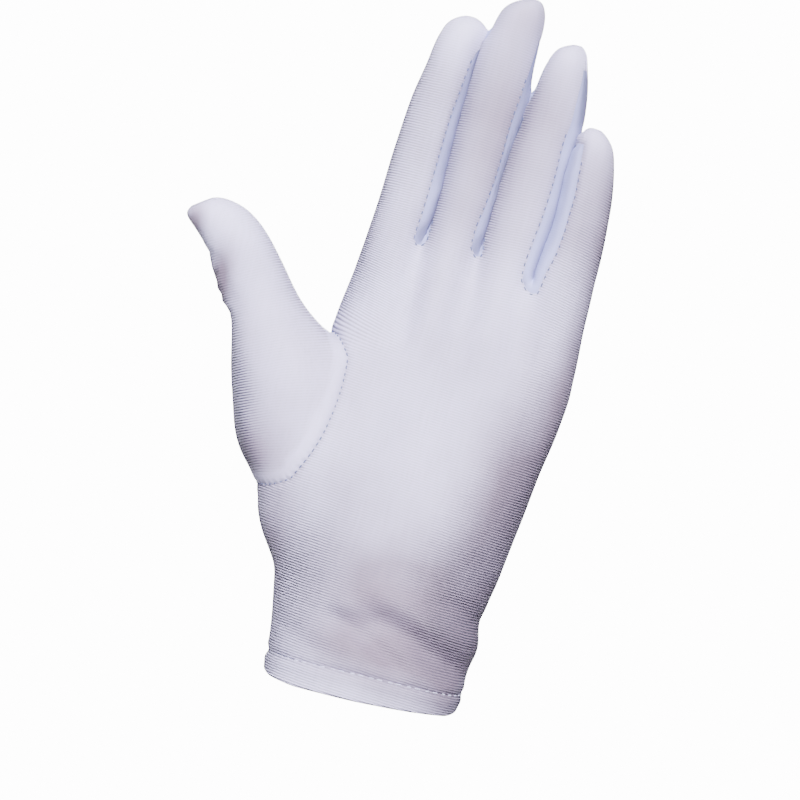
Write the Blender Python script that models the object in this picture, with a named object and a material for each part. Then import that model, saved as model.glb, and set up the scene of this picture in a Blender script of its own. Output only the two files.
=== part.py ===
# White parade glove, left hand, worn form, palm towards -Y, fingers up +Z, little finger towards +X.
# Lengths are millimetres here and metres in the scene. The origin is the centre of the wrist opening.
import bpy
import numpy as np

MM = 0.001

# Driving sizes
WALL = 1.2
HEM_WALL = 2.0
SEAM_GAP = 0.3
FRONT_COLS = 4
ARM_COLS = 4
NOTCH_COLS = 2
LOW_ROWS, HOLE_ROWS, HIGH_ROWS = 10, 8, 5
SHAFT_ROWS = 10
HALF_ARM = ARM_COLS // 2
HOLE_COLS = HALF_ARM + 1
NOTCH_HALF_WIDTH = 1.75
NOTCH_RISE = 2.0
WEB_RISE = 8.5
BACK_DROP = 8.0
PALM_POWER = 2.5
FINGER_POWER = 2.04

# Hand sections: height, left edge, right edge, front depth, back depth, lean towards the viewer per x
PALM = np.array([
    (-4, -31.0, 28.6, 19.6, 19.4, 0.0),
    (5, -31.6, 30.0, 19.0, 19.0, 0.0),
    (16, -33.5, 30.8, 18.2, 18.2, 0.0),
    (24, -35.4, 30.0, 17.6, 17.2, 0.0),
    (30, -37.0, 29.3, 17.4, 16.4, 0.0),
    (35, -40.4, 29.8, 17.4, 15.8, 0.0),
    (42, -45.4, 30.9, 17.4, 15.0, 0.0),
    (51, -50.3, 31.9, 17.4, 14.4, 0.005),
    (60, -51.0, 32.8, 17.2, 13.8, 0.01),
    (70, -49.8, 33.7, 16.8, 13.4, 0.02),
    (80, -47.5, 34.6, 16.2, 13.2, 0.03),
    (92, -44.2, 36.2, 15.2, 12.8, 0.045),
    (104, -41.6, 37.0, 14.0, 12.4, 0.065),
    (112, -39.9, 36.5, 13.0, 12.0, 0.085),
    (120, -38.6, 36.0, 12.0, 11.6, 0.11),
    (130, -37.8, 35.2, 10.8, 11.0, 0.14),
    (142, -37.4, 34.5, 9.8, 10.4, 0.17),
])
LEAN_X = -4.0

# Pads and hollows of the palm side: x, height, half width, half height, amount towards the viewer
FRONT_PADS = [
    (-33, 72, 15, 26, 3.4),
    (20, 48, 13, 24, 2.2),
    (-4, 84, 13, 20, -2.6),
    (-12, 122, 26, 9, 1.6),
]
# Knuckles of the back: x, height, half width, half height, amount away from the viewer
BACK_PADS = [
    (-29, 112, 6, 9, 1.4),
    (-10, 116, 6, 9, 1.8),
    (8, 112, 6, 9, 1.5),
    (25, 106, 6, 9, 1.3),
]

# Folds pulled into the cloth of the palm side: x and height of both ends, half width, depth
FOLDS = [
    (-5, 27.5, 31, 20.5, 3.8, 2.2),
    (-14, 22.5, 14, 9.5, 3.5, 1.7),
]

# Lower edge of the cuff and the hem line: share round each half from the left, height
HEM_EDGE = np.array([(0, -0.2), (0.12, -2.2), (0.25, -2.8), (0.5, -1.9), (0.7, -0.6), (0.88, 0.8), (1, 3.6)])
HEM_LINE = np.array([(0, 4.0), (0.2, 4.2), (0.5, 5.6), (0.8, 6.6), (1, 7.6)])

# Seam round the thumb: x and height of the palm side, then of the back
ARC_FRONT = np.array([
    (-50.2, 51), (-44.4, 51.2), (-38.9, 55.0), (-35.1, 60.4), (-32.5, 67.0), (-31.1, 75.4),
    (-30.7, 81.6), (-30.9, 87.3), (-31.5, 92.9), (-33.2, 98.7), (-36.4, 103.2), (-41.5, 104.7),
])
ARC_BACK = np.array([
    (-50.2, 51), (-46.5, 53.5), (-43.5, 58), (-41.2, 64), (-39.5, 71), (-38.6, 79),
    (-38.2, 87), (-38.2, 94), (-38.8, 100), (-41.5, 104.7),
])

# Thumb sections: outer x, outer height, inner x, inner height, mid y, front depth, back depth
THUMB = np.array([
    (-50.2, 51.0, -41.5, 104.7, 0.0, 17.0, 13.0),
    (-55.1, 57.2, -42.4, 105.0, -1.0, 17.4, 13.6),
    (-59.3, 64.4, -44.2, 105.8, -2.2, 17.0, 13.6),
    (-62.6, 73.6, -46.8, 107.4, -3.4, 15.6, 13.0),
    (-65.7, 82.6, -50.0, 109.9, -4.6, 13.8, 12.2),
    (-68.2, 92.2, -53.6, 113.4, -6.0, 12.0, 11.2),
    (-71.2, 101.2, -58.2, 118.6, -7.4, 10.8, 10.2),
    (-76.4, 107.6, -63.4, 124.4, -9.2, 10.0, 9.5),
    (-81.0, 115.4, -68.6, 129.4, -11.2, 9.3, 8.8),
    (-86.6, 121.6, -74.2, 132.9, -12.7, 8.0, 7.6),
    (-90.4, 124.9, -79.4, 134.3, -13.4, 6.2, 6.0),
    (-92.1, 127.4, -84.0, 134.2, -13.7, 3.9, 3.7),
])
THUMB_TIP = (-90.9, 129.6, -86.2, 133.2, -13.8)
THUMB_BLEND_ROWS = 5

# Notches between the fingers, palm side: x, height, and how far back the crotch line starts
NOTCHES = [(-21.6, 139.3), (-3.6, 140.1), (12.8, 132.2)]

# Fingers: height, left edge, right edge
FINGERS = {
    "index": np.array([
        (120, -38.5, -21.6), (141, -37.4, -20.4), (144.5, -37.2, -18.8), (148, -37.1, -18.4),
        (154, -36.9, -18.6), (160, -36.8, -19.0), (176, -36.4, -19.35), (186, -35.4, -19.45),
        (193, -34.3, -19.5), (200, -33.6, -19.4), (205.4, -32.1, -18.9), (207.2, -30.8, -18.8),
        (208.6, -29.2, -20.4), (209.6, -27.2, -22.4)]),
    "middle": np.array([
        (120, -20.3, -4.0), (141, -20.1, -3.2), (144.5, -19.1, -2.0), (148, -18.9, -1.7),
        (154, -18.8, -1.8), (160, -18.9, -1.85), (170, -19.1, -1.6), (180, -19.3, -0.9),
        (187, -19.3, -0.4), (190, -19.3, -0.5), (194, -19.4, -1.1), (200, -19.2, -1.8),
        (207, -17.8, -2.2), (212, -16.8, -2.4), (215.7, -15.3, -2.9), (218, -13.0, -3.7),
        (219.6, -9.8, -5.0)]),
    "ring": np.array([
        (120, -1.9, 14.0), (134, -1.9, 15.0), (138, -2.0, 16.2), (142, -2.2, 16.8),
        (148, -2.2, 17.3), (154, -2.0, 17.6), (159, -1.9, 17.6), (165, -1.8, 17.3),
        (171, -1.5, 16.9), (179, -0.9, 17.15), (183, -0.6, 17.5), (187, -0.3, 17.8),
        (192, 0.1, 17.1), (199, 0.8, 15.7), (204, 1.9, 14.3), (207, 3.3, 13.2),
        (208.6, 5.2, 12.3), (209.4, 7.2, 11.0)]),
    "little": np.array([
        (115, 16.2, 35.9), (134, 16.0, 35.0), (141, 16.1, 34.6), (148, 16.9, 34.5),
        (155, 17.4, 34.0), (164, 17.2, 33.0), (171, 16.6, 31.8), (176, 16.8, 30.5),
        (180, 17.0, 29.3), (183, 17.3, 27.5), (184.8, 18.0, 25.6), (185.9, 19.2, 23.8)]),
}
# Tip height, length of the rounded end, middle y at root, forward curl of the tip, half depths
FINGER_BODY = {
    "index": (210.0, 11.0, 4.2, 4.5, 9.4, 7.4),
    "middle": (220.2, 12.0, 1.1, 5.5, 9.6, 7.6),
    "ring": (209.8, 11.0, -2.1, 6.0, 9.3, 7.3),
    "little": (186.4, 9.0, -5.4, 5.5, 8.7, 6.5),
}
# Strip edges, degrees round from the side: height, towards the palm, towards the back
STRIPS = {
    ("index", "right"): [(141, 49, 46), (147, 56, 46), (160, 51, 46), (180, 47, 42),
                         (193, 39, 34), (199, 31, 26), (204, 13, 13)],
    ("middle", "left"): [(141, 14, 48), (147, 2, 60), (160, -4, 62), (195, -2, 52), (212, 6, 14)],
    ("middle", "right"): [(141, 40, 46), (148, 54, 46), (158, 40, 46), (167, 38, 46),
                          (186, 48, 42), (195, 36, 34), (212, 10, 12)],
    ("ring", "left"): [(141, 14, 48), (147, 2, 58), (160, -2, 58), (188, -2, 50), (203, 6, 14)],
    ("ring", "right"): [(135, 52, 46), (144, 58, 46), (160, 52, 44), (170, 48, 42), (180, 54, 36),
                        (190, 57, 20), (198, 49, -8), (204, 42, -26)],
    ("little", "left"): [(134, 36, 46), (145, 52, 46), (158, 53, 46), (167, 57, 42), (175, 54, 30), (182, 44, -18)],
    ("index", "left"): [(120, 45, 45), (204, 30, 30)],
    ("little", "right"): [(115, 45, 45), (182, 30, 30)],
}
NAMES = ["index", "middle", "ring", "little"]
DOME = np.array([0.0, 0.34, 0.62, 0.83, 0.955])


def interp(table, at, column):
    table = np.asarray(table, float)
    return np.interp(at, table[:, 0], table[:, column])


def smooth_step(t):
    t = np.clip(t, 0.0, 1.0)
    return t * t * (3 - 2 * t)


def bump(pads, x, z):
    return sum(h * np.exp(-((x - px) / sx) ** 2 - ((z - pz) / sz) ** 2) for px, pz, sx, sz, h in pads)


def hand_section(z, front, count=97):
    """One half of the hand's section at height z, from the left edge to the right edge."""
    left, right, depth = (float(interp(PALM, z, i)) for i in (1, 2, 3 if front else 4))
    angle = np.linspace(0, np.pi, count)
    power = 2 / PALM_POWER
    u = -np.sign(np.cos(angle)) * np.abs(np.cos(angle)) ** power
    v = np.abs(np.sin(angle)) ** power
    x = (left + right) / 2 + (right - left) / 2 * u
    pads = bump(FRONT_PADS if front else BACK_PADS, x, z) * v
    y = (depth * v + pads) * (-1 if front else 1) - float(interp(PALM, z, 5)) * (x - LEAN_X)
    return x, y


def arc_share(x, y):
    length = np.concatenate([[0], np.cumsum(np.hypot(np.diff(x), np.diff(y)))])
    return length / length[-1]


def share_of_x(x_at, z, front):
    x, y = hand_section(z, front)
    return float(np.interp(x_at, x, arc_share(x, y)))


def hand_point(e, z):
    """A point of the hand's surface: e runs -1 to 0 over the back and 0 to 1 over the palm."""
    x, y = hand_section(z, e >= 0)
    share = arc_share(x, y)
    return np.array([np.interp(abs(e), share, x), np.interp(abs(e), share, y), z])


def along(points, count):
    """Points evenly spaced along a polyline, ends included."""
    points = np.asarray(points, float)
    step = np.concatenate([[0], np.cumsum(np.linalg.norm(np.diff(points, axis=0), axis=1))])
    at = np.linspace(0, step[-1], count)
    return np.stack([np.interp(at, step, points[:, i]) for i in range(points.shape[1])], 1)


# Finger loops run: left arm middle, front, right arm middle, back, left arm middle
LOOP = 2 * FRONT_COLS + 2 * ARM_COLS
FRONT_AT = HALF_ARM
RIGHT_AT = HALF_ARM + FRONT_COLS
BACK_AT = RIGHT_AT + ARM_COLS
LEFT_AT = BACK_AT + FRONT_COLS


def loop_angles(name, z):
    """Degrees of each loop vertex at height z, measured from +X through the palm side (-Y)."""
    right_f, right_b = (float(interp(STRIPS[name, "right"], z, i)) for i in (1, 2))
    left_f, left_b = (float(interp(STRIPS[name, "left"], z, i)) for i in (1, 2))
    right_mid, left_mid = (right_f - right_b) / 2, (left_f - left_b) / 2
    if name == "index":
        left_mid = 0
    if name == "little":
        right_mid = 0
    parts = [
        np.linspace(180 - left_mid, 180 - left_f, HALF_ARM + 1)[:-1],
        np.linspace(180 - left_f, right_f, FRONT_COLS + 1)[:-1],
        np.linspace(right_f, right_mid, HALF_ARM + 1)[:-1],
        np.linspace(right_mid, -right_b, HALF_ARM + 1)[:-1],
        np.linspace(-right_b, -180 + left_b, FRONT_COLS + 1)[:-1],
        np.linspace(-180 + left_b, -180 - left_mid, HALF_ARM + 1)[:-1],
    ]
    return np.concatenate(parts)


def root_height(name, angle, k):
    """Height of the finger's first loop where it faces this way: the webs rise between the notches."""
    i = NAMES.index(name)
    from_arm = {"right": k - RIGHT_AT, "left": (k - LEFT_AT) % LOOP}
    web = 0.0
    for arm, at in from_arm.items():
        if (name, arm) not in (("index", "left"), ("little", "right")) and 0 <= at <= ARM_COLS:
            web = WEB_RISE * np.sin(np.pi * at / ARM_COLS)
    heights = [NOTCHES[0][1] - 9] + [n[1] + NOTCH_RISE for n in NOTCHES] + [NOTCHES[2][1] - 4]
    side = (1 + np.cos(np.radians(angle))) / 2
    back = (1 - np.sin(np.radians(angle))) / 2
    return heights[i] * (1 - side) + heights[i + 1] * side - BACK_DROP * back + web


def finger_point(name, angle, z):
    tip, dome, y_root, curl, depth_root, depth_tip = FINGER_BODY[name]
    left, right = float(interp(FINGERS[name], z, 1)), float(interp(FINGERS[name], z, 2))
    share = np.clip((z - 135) / (tip - 135), 0, 1)
    depth = depth_root + (depth_tip - depth_root) * share
    into = np.clip((z - (tip - dome)) / dome, 0, 1)
    depth *= (1 - into ** 2.3) ** (1 / 2.3)
    c, s = np.cos(np.radians(angle)), np.sin(np.radians(angle))
    power = 2 / FINGER_POWER
    x = (left + right) / 2 + (right - left) / 2 * np.sign(c) * abs(c) ** power
    y = y_root - curl * share ** 2 - depth * np.sign(s) * abs(s) ** power
    return np.array([x, y, z])


def finger_rows(name):
    """Loops of one finger from root to tip, then the line that closes it."""
    tip, dome = FINGER_BODY[name][:2]
    start = tip - dome
    low = loop_angles(name, float(STRIPS[name, "right"][0][0]))
    rows = []
    for r in range(SHAFT_ROWS + 1):
        t = r / SHAFT_ROWS
        row = []
        for k in range(LOOP):
            base = root_height(name, low[k], k)
            z = base + (start - base) * t
            row.append(finger_point(name, loop_angles(name, z)[k], z))
        rows.append(np.array(row))
    for d in DOME[1:]:
        z = start + dome * d
        angles = loop_angles(name, z)
        rows.append(np.array([finger_point(name, a, z) for a in angles]))
    half = LOOP // 2
    last = rows[-1]
    close = []
    for k in range(half + 1):
        a, b = last[k], last[(LOOP - k) % LOOP]
        close.append((a + b) / 2)
    close = np.array(close)
    middle = close[[0, -1]].mean(0)
    close = middle + (close - middle) * (0.62, 1, 1)
    close[:, 2] = tip - 0.5 * (np.linspace(-1, 1, half + 1) ** 2)
    return rows, close


class Skin:
    """Faces of the whole glove with shared corners, each with its piece and its side."""

    def __init__(self):
        self.points, self.faces, self.piece, self.side = [], [], [], []
        self.count = 0

    def grid(self, grid, label):
        """Faces over a grid of points (rows, columns). label(i, j) gives piece and side, or None."""
        rows, columns = grid.shape[:2]
        base = self.count
        self.points.append(grid.reshape(-1, 3))
        self.count += rows * columns
        for i in range(rows - 1):
            for j in range(columns - 1):
                found = label(i, j)
                if found is None:
                    continue
                a = base + i * columns + j
                self.faces.append((a, a + 1, a + columns + 1, a + columns))
                self.piece.append(found[0])
                self.side.append(found[1])

    def weld(self):
        points = np.concatenate(self.points)
        _, first, index = np.unique(
            np.round(points, 3), axis=0, return_index=True, return_inverse=True)
        index = index.reshape(-1)
        faces = [[index[v] for v in f] for f in self.faces]
        faces = [[v for n, v in enumerate(f) if v != f[n - 1]] for f in faces]
        used = np.unique(np.concatenate([np.array(f) for f in faces]))
        rank = -np.ones(len(first), int)
        rank[used] = np.arange(len(used))
        return points[first][used], [[int(rank[v]) for v in f] for f in faces]


def column_starts():
    """Column of the palm side's half where each finger's front begins."""
    step = FRONT_COLS + NOTCH_COLS
    return [HALF_ARM + i * step for i in range(4)]


def build_skin():
    skin = Skin()
    fingers = {name: finger_rows(name) for name in NAMES}
    half = 2 * HALF_ARM + 4 * FRONT_COLS + 3 * NOTCH_COLS
    starts = column_starts()
    rows = LOW_ROWS + HOLE_ROWS + HIGH_ROWS

    # Top row of the hand: the fingers' first loops and the notches between them
    def notch_point(i, share):
        x, z = NOTCHES[i]
        a = fingers[NAMES[i]][0][0][RIGHT_AT:BACK_AT + 1]
        b = fingers[NAMES[i + 1]][0][0]
        ring = [b[FRONT_AT], *b[FRONT_AT - 1::-1], *b[:LEFT_AT - 1:-1]][:ARM_COLS + 1]
        at = share * ARM_COLS
        k = int(round(at))
        mid = (a[k] + ring[k]) / 2
        drop = NOTCH_RISE * (1.0 - 0.35 * np.sin(np.pi * share))
        return np.array([mid[0], mid[1], mid[2] - drop])

    notch = [np.array([notch_point(i, k / ARM_COLS) for k in range(ARM_COLS + 1)]) for i in range(3)]
    top = {}
    for i, name in enumerate(NAMES):
        loop = fingers[name][0][0]
        for k in range(FRONT_COLS + 1):
            top[starts[i] + k] = loop[FRONT_AT + k]
            top[-(starts[i] + k)] = loop[(LEFT_AT - k) % LOOP]
        if i < 3:
            top[starts[i] + FRONT_COLS + 1] = notch[i][0]
            top[-(starts[i] + FRONT_COLS + 1)] = notch[i][-1]
    index, little = fingers["index"][0][0], fingers["little"][0][0]
    for k in range(HALF_ARM + 1):
        top[k] = index[k]
        top[-k] = index[(LOOP - k) % LOOP]
        top[half - k] = little[RIGHT_AT + HALF_ARM - k]
        top[-(half - k)] = little[RIGHT_AT + HALF_ARM + k]

    # The unrolled hand: column c from -half to half, row j from the hem line up
    unroll = 85.0
    e = np.zeros((rows + 1, 2 * half + 1))
    z = np.zeros_like(e)
    for c in range(-half, half + 1):
        point = top[c]
        e[rows, c + half] = (share_of_x(point[0], point[2], c >= 0) if abs(c) < half else 1.0)
        if c == 0:
            e[rows, half] = 0
        e[rows, c + half] *= 1 if c >= 0 else -1
        z[rows, c + half] = point[2]
        e[0, c + half] = e[rows, c + half]
        z[0, c + half] = np.interp(abs(e[0, c + half]), HEM_LINE[:, 0], HEM_LINE[:, 1])
    marks = np.array([z[0, -1], 51.0, 104.0, z[rows, -1]])
    spans = (LOW_ROWS, HOLE_ROWS, HIGH_ROWS)
    edge = np.concatenate([np.linspace(marks[i], marks[i + 1], n + 1)[:-1] for i, n in enumerate(spans)])
    edge = np.append(edge, marks[3])
    for c in range(2 * half + 1):
        t = (edge - edge[0]) / (edge[-1] - edge[0])
        z[1:rows, c] = (z[0, c] + (z[rows, c] - z[0, c]) * t)[1:rows]
        e[1:rows, c] = e[rows, c]
    fixed = np.zeros(e.shape, bool)
    fixed[[0, rows]] = True
    fixed[:, [0, -1]] = True
    low, high = LOW_ROWS, LOW_ROWS + HOLE_ROWS
    for sign, arc in ((1, ARC_FRONT), (-1, ARC_BACK)):
        path = along(arc, 2 * HOLE_COLS + HOLE_ROWS + 1)
        cells = [(low, k) for k in range(HOLE_COLS)]
        cells += [(j, HOLE_COLS) for j in range(low, high)]
        cells += [(high, k) for k in range(HOLE_COLS, -1, -1)]
        for (j, k), (px, pz) in zip(cells, path):
            share = 0.0 if k == 0 else share_of_x(px, pz, sign > 0)
            e[j, half + sign * k] = sign * share
            z[j, half + sign * k] = pz
            fixed[j, half + sign * k] = True
    inside = np.zeros(e.shape, bool)
    inside[low + 1:high, half - HOLE_COLS + 1:half + HOLE_COLS] = True
    free = ~fixed & ~inside
    for _ in range(500):
        for grid, weight in ((e, unroll), (z, 1.0)):
            mean = grid.copy()
            mean[1:-1, 1:-1] = (grid[:-2, 1:-1] + grid[2:, 1:-1] + grid[1:-1, :-2] + grid[1:-1, 2:]) / 4
            grid[free] = mean[free]
    palm = np.array([[hand_point(e[j, c], z[j, c]) for c in range(2 * half + 1)] for j in range(rows + 1)])
    for c in range(2 * half + 1):
        pull = top[c - half] - palm[rows, c]
        reach = smooth_step(1 - (palm[rows, c, 2] - palm[:, c, 2]) / 44.0)
        palm[:, c] += reach[:, None] * pull
    palm[:, -1] = palm[:, 0]

    def palm_label(j, c):
        if low <= j < high and half - HOLE_COLS <= c < half + HOLE_COLS:
            return None
        if half - HALF_ARM <= c < half + HALF_ARM:
            return "trank", "fold"
        return "trank", "front" if c >= half else "back"

    skin.grid(palm, palm_label)

    # Hem band: rows below the hem line
    hem = []
    for share in (0.0, 0.33, 0.7, 1.0):
        row = []
        for c in range(2 * half + 1):
            edge_z = np.interp(abs(e[0, c]), HEM_EDGE[:, 0], HEM_EDGE[:, 1])
            at = edge_z + (z[0, c] - edge_z) * share
            row.append(hand_point(e[0, c], at))
        hem.append(row)
    hem = np.array(hem)
    hem[-1] = palm[0]
    hem[:, -1] = hem[:, 0]
    skin.grid(hem, lambda i, j: ("cuff_hem", "fold"))

    # Fingers with their strips
    strip_of = {
        ("index", "right"): "fourchette_index_middle", ("middle", "left"): "fourchette_index_middle",
        ("middle", "right"): "fourchette_middle_ring", ("ring", "left"): "fourchette_middle_ring",
        ("ring", "right"): "fourchette_ring_little", ("little", "left"): "fourchette_ring_little",
    }
    for name in NAMES:
        loops, close = fingers[name]
        ring = np.array([np.concatenate([row, row[:1]]) for row in loops])
        closing = np.concatenate([close, close[-2::-1]])
        ring = np.concatenate([ring, closing[None]])
        end = {side: STRIPS[name, side][-1][0] for side in ("left", "right")}

        def label(i, k, ring=ring, name=name, end=end):
            right = RIGHT_AT <= k < BACK_AT
            left = k >= LEFT_AT or k < FRONT_AT
            side = "right" if right else "left" if left else None
            if side and (name, side) in strip_of and ring[i + 1, k, 2] < end[side]:
                return strip_of[name, side], "fold"
            if name == "index" and left:
                return "trank", "fold"
            front = FRONT_AT - HALF_ARM <= k < RIGHT_AT + HALF_ARM
            return "trank", "front" if front else "back"

        skin.grid(ring, label)

    # Crotches between the fingers
    for i in range(3):
        a = fingers[NAMES[i]][0][0][RIGHT_AT:BACK_AT + 1]
        b = fingers[NAMES[i + 1]][0][0]
        ring = np.array([b[FRONT_AT], *b[FRONT_AT - 1::-1], *b[:LEFT_AT - 1:-1]][:ARM_COLS + 1])
        strip = np.array([a, notch[i], ring])
        piece = strip_of[NAMES[i], "right"]
        skin.grid(strip.transpose(1, 0, 2), lambda r, c, piece=piece: (piece, "fold"))

    # Thumb, from the seam to the tip
    order = [(low, k) for k in range(HOLE_COLS)]
    order += [(j, HOLE_COLS) for j in range(low, high)]
    order += [(high, k) for k in range(HOLE_COLS, -1, -1)]
    front = np.array([palm[j, half + k] for j, k in order])
    back = np.array([palm[j, half - k] for j, k in order])
    count = len(order)
    angle = np.linspace(0, np.pi, count)

    def thumb_section(row):
        ox, oz, ix, iz, y, deep_f, deep_b = row
        outer, inner = np.array([ox, y, oz]), np.array([ix, y, iz])
        mid, reach = (outer + inner) / 2, (outer - inner) / 2
        across = np.cos(angle)[:, None] * reach
        rise = np.sin(angle)[:, None] ** 0.94
        return mid + across + rise * (0, -deep_f, 0), mid + across + rise * (0, deep_b, 0)

    zero_front, zero_back = thumb_section(THUMB[0])
    tube = []
    for r, row in enumerate(THUMB):
        part_front, part_back = thumb_section(row)
        stay = 1 - smooth_step(r / THUMB_BLEND_ROWS)
        part_front = part_front + stay * (front - zero_front)
        part_back = part_back + stay * (back - zero_back)
        part_back[0], part_back[-1] = part_front[0], part_front[-1]
        tube.append(np.concatenate([part_front, part_back[-2::-1]]))
    ox, oz, ix, iz, y = THUMB_TIP
    line = np.linspace((ox, y, oz), (ix, y, iz), count)
    tube.append(np.concatenate([line, line[-2::-1]]))
    skin.grid(np.array(tube), lambda i, j: ("thumb", "fold"))
    return skin


def neighbours(count, faces):
    pairs = set()
    for f in faces:
        for n, v in enumerate(f):
            pairs.add((min(v, f[n - 1]), max(v, f[n - 1])))
    pairs = np.array(sorted(pairs))
    return pairs


def relax(points, faces, weight, times):
    """Pulls each point towards the mean of its neighbours by its own weight."""
    pairs = neighbours(len(points), faces)
    for _ in range(times):
        total = np.zeros_like(points)
        number = np.zeros(len(points))
        for a, b in ((0, 1), (1, 0)):
            np.add.at(total, pairs[:, a], points[pairs[:, b]])
            np.add.at(number, pairs[:, a], 1)
        points = points + weight[:, None] * (total / number[:, None] - points)
    return points


def normals_of(points, faces):
    total = np.zeros_like(points)
    for f in faces:
        corner = points[f]
        area = np.zeros(3)
        for n in range(1, len(f) - 1):
            area += np.cross(corner[n] - corner[0], corner[n + 1] - corner[0])
        for v in f:
            total[v] += area
    return total / np.linalg.norm(total, axis=1)[:, None]


def fold_depth(points, normals):
    """How far the folds push each point in."""
    depth = np.zeros(len(points))
    for x0, z0, x1, z1, width, amount in FOLDS:
        start, run = np.array([x0, z0]), np.array([x1 - x0, z1 - z0])
        rel = points[:, [0, 2]] - start
        t = (rel @ run) / (run @ run)
        away = np.linalg.norm(rel - np.clip(t, 0, 1)[:, None] * run, axis=1)
        fade = smooth_step((1 - np.clip(-t, 0, 1) * 4)) * smooth_step(t * 4 + 0.4)
        shape = np.exp(-(away / width) ** 2) - 0.45 * np.exp(-((away - 2.2 * width) / width) ** 2)
        depth += amount * shape * fade * (normals[:, 1] < 0.35)
    return depth


def main():
    for thing in list(bpy.data.objects):
        bpy.data.objects.remove(thing)
    skin = build_skin()
    points, faces = skin.weld()
    piece, side = np.array(skin.piece), np.array(skin.side)
    near = np.zeros(len(points))
    for i, (x, z) in enumerate(NOTCHES):
        near += np.exp(-((points[:, 0] - x) / 13) ** 2 - ((points[:, 2] - z + 6) / 13) ** 2)
    arc = np.array([(x, z) for x, z in ARC_FRONT])
    away = np.min(np.linalg.norm(points[:, None, [0, 2]] - arc[None], axis=2), axis=1)
    near += np.exp(-(away / 9) ** 2)
    points = relax(points, faces, np.clip(near, 0, 1) * 0.45, 4)
    normals = normals_of(points, faces)
    points = points - normals * fold_depth(points, normals)[:, None]
    normals = normals_of(points, faces)
    make_pieces(points, faces, piece, side, normals)


COLORS = {
    "trank": (0.80, 0.79, 0.87), "thumb": (0.82, 0.81, 0.89), "cuff_hem": (0.78, 0.77, 0.86),
    "fourchette_index_middle": (0.74, 0.75, 0.86), "fourchette_middle_ring": (0.74, 0.75, 0.86),
    "fourchette_ring_little": (0.74, 0.75, 0.86),
}


def material_for(name):
    material = bpy.data.materials.new(name + "_cloth")
    material.use_nodes = True
    shader = material.node_tree.nodes["Principled BSDF"]
    shader.inputs["Base Color"].default_value = (*COLORS[name], 1)
    shader.inputs["Roughness"].default_value = 0.7
    return material


def make_pieces(points, faces, piece, side, normals):
    """Cuts the skin along its seams and gives each piece its wall."""
    edges = {}
    for i, f in enumerate(faces):
        for n, v in enumerate(f):
            edges.setdefault((min(v, f[n - 1]), max(v, f[n - 1])), []).append(i)

    def joined(a, b):
        same = piece[a] == piece[b]
        return same and {side[a], side[b]} != {"front", "back"}

    collection = bpy.data.collections.new("parade_glove")
    bpy.context.scene.collection.children.link(collection)
    for name in COLORS:
        mine = [i for i in range(len(faces)) if piece[i] == name]
        # Corners of this piece, one per fan of joined faces round a point
        corner = {(i, v): (i, v) for i in mine for v in faces[i]}

        def root(key, corner=corner):
            while corner[key] != key:
                key = corner[key]
            return key

        for (u, v), owners in edges.items():
            if len(owners) == 2 and all(piece[o] == name for o in owners) and joined(*owners):
                for w in (u, v):
                    a, b = root((owners[0], w)), root((owners[1], w))
                    if a != b:
                        corner[a] = b
        keys = sorted({root(k) for k in corner})
        number = {k: n for n, k in enumerate(keys)}
        shell = [[number[root((i, v))] for v in faces[i]] for i in mine]
        source = np.array([k[1] for k in keys])
        outer = points[source].copy()
        normal = normals[source]
        used = {}
        for f in shell:
            for n in range(len(f)):
                used[(f[n - 1], f[n])] = 1
        border = [pair for pair in used if (pair[1], pair[0]) not in used]
        inward = np.zeros_like(outer)
        for a, b in border:
            along_edge = outer[b] - outer[a]
            along_edge /= np.linalg.norm(along_edge)
            for v in (a, b):
                inward[v] += np.cross(normal[v], along_edge)
        moved = np.linalg.norm(inward, axis=1) > 1e-6
        length = np.linalg.norm(inward[moved], axis=1)[:, None]
        step = inward[moved] / length * np.minimum(2 / length, 2.2)
        ends = np.bincount([a for a, b in border], minlength=len(outer))[moved][:, None]
        outer[moved] += step * SEAM_GAP / 2 * np.where(ends > 1, 0, 1)
        if name == "cuff_hem":
            verts, quads = hem_walls(outer, normal, shell, border)
        else:
            inner = outer - normal * WALL
            total = len(outer)
            quads = [f for f in shell] + [[v + total for v in f[::-1]] for f in shell]
            quads += [[b, a, a + total, b + total] for a, b in border]
            verts = np.concatenate([outer, inner])
        mesh = bpy.data.meshes.new(name)
        mesh.from_pydata((verts * MM).tolist(), [], [[int(v) for v in q] for q in quads])
        mesh.validate()
        mesh.update()
        mesh.shade_smooth()
        mesh.materials.append(material_for(name))
        obj = bpy.data.objects.new(name, mesh)
        collection.objects.link(obj)


def lower_loop(points, border):
    """The vertices of the lower one of a band's two edges."""
    onward = {int(a): int(b) for a, b in border}
    loops = []
    while onward:
        v, loop = next(iter(onward)), set()
        while v in onward:
            loop.add(v)
            v = onward.pop(v)
        loops.append(loop)
    return min(loops, key=lambda loop: np.mean([points[v][2] for v in loop]))


def hem_walls(outer, normal, shell, border):
    """The hem is the cloth turned up on itself: a thicker wall with a rounded lower edge."""
    total = len(outer)
    below = lower_loop(outer, border)
    low = np.array([v in below for v in range(total)])
    lift = 0.35 * np.clip((8.0 - outer[:, 2]) / 6.0, 0, 1)
    skin = outer + normal * lift[:, None]
    skin[low] += normal[low] * -0.35
    inner = skin - normal * HEM_WALL
    inner[low] += normal[low] * 0.7
    quads = [f for f in shell] + [[v + total for v in f[::-1]] for f in shell]
    verts = [skin, inner]
    under = {}
    extra = []
    for a, b in border:
        if low[a] and low[b]:
            for v in (a, b):
                if v not in under:
                    under[v] = 2 * total + len(extra)
                    extra.append((skin[v] + inner[v]) / 2 + np.array([0, 0, -0.55]))
            quads.append([b, a, under[a], under[b]])
            quads.append([under[b], under[a], a + total, b + total])
        else:
            quads.append([b, a, a + total, b + total])
    return np.concatenate([*verts, np.array(extra)]), quads


main()
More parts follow.
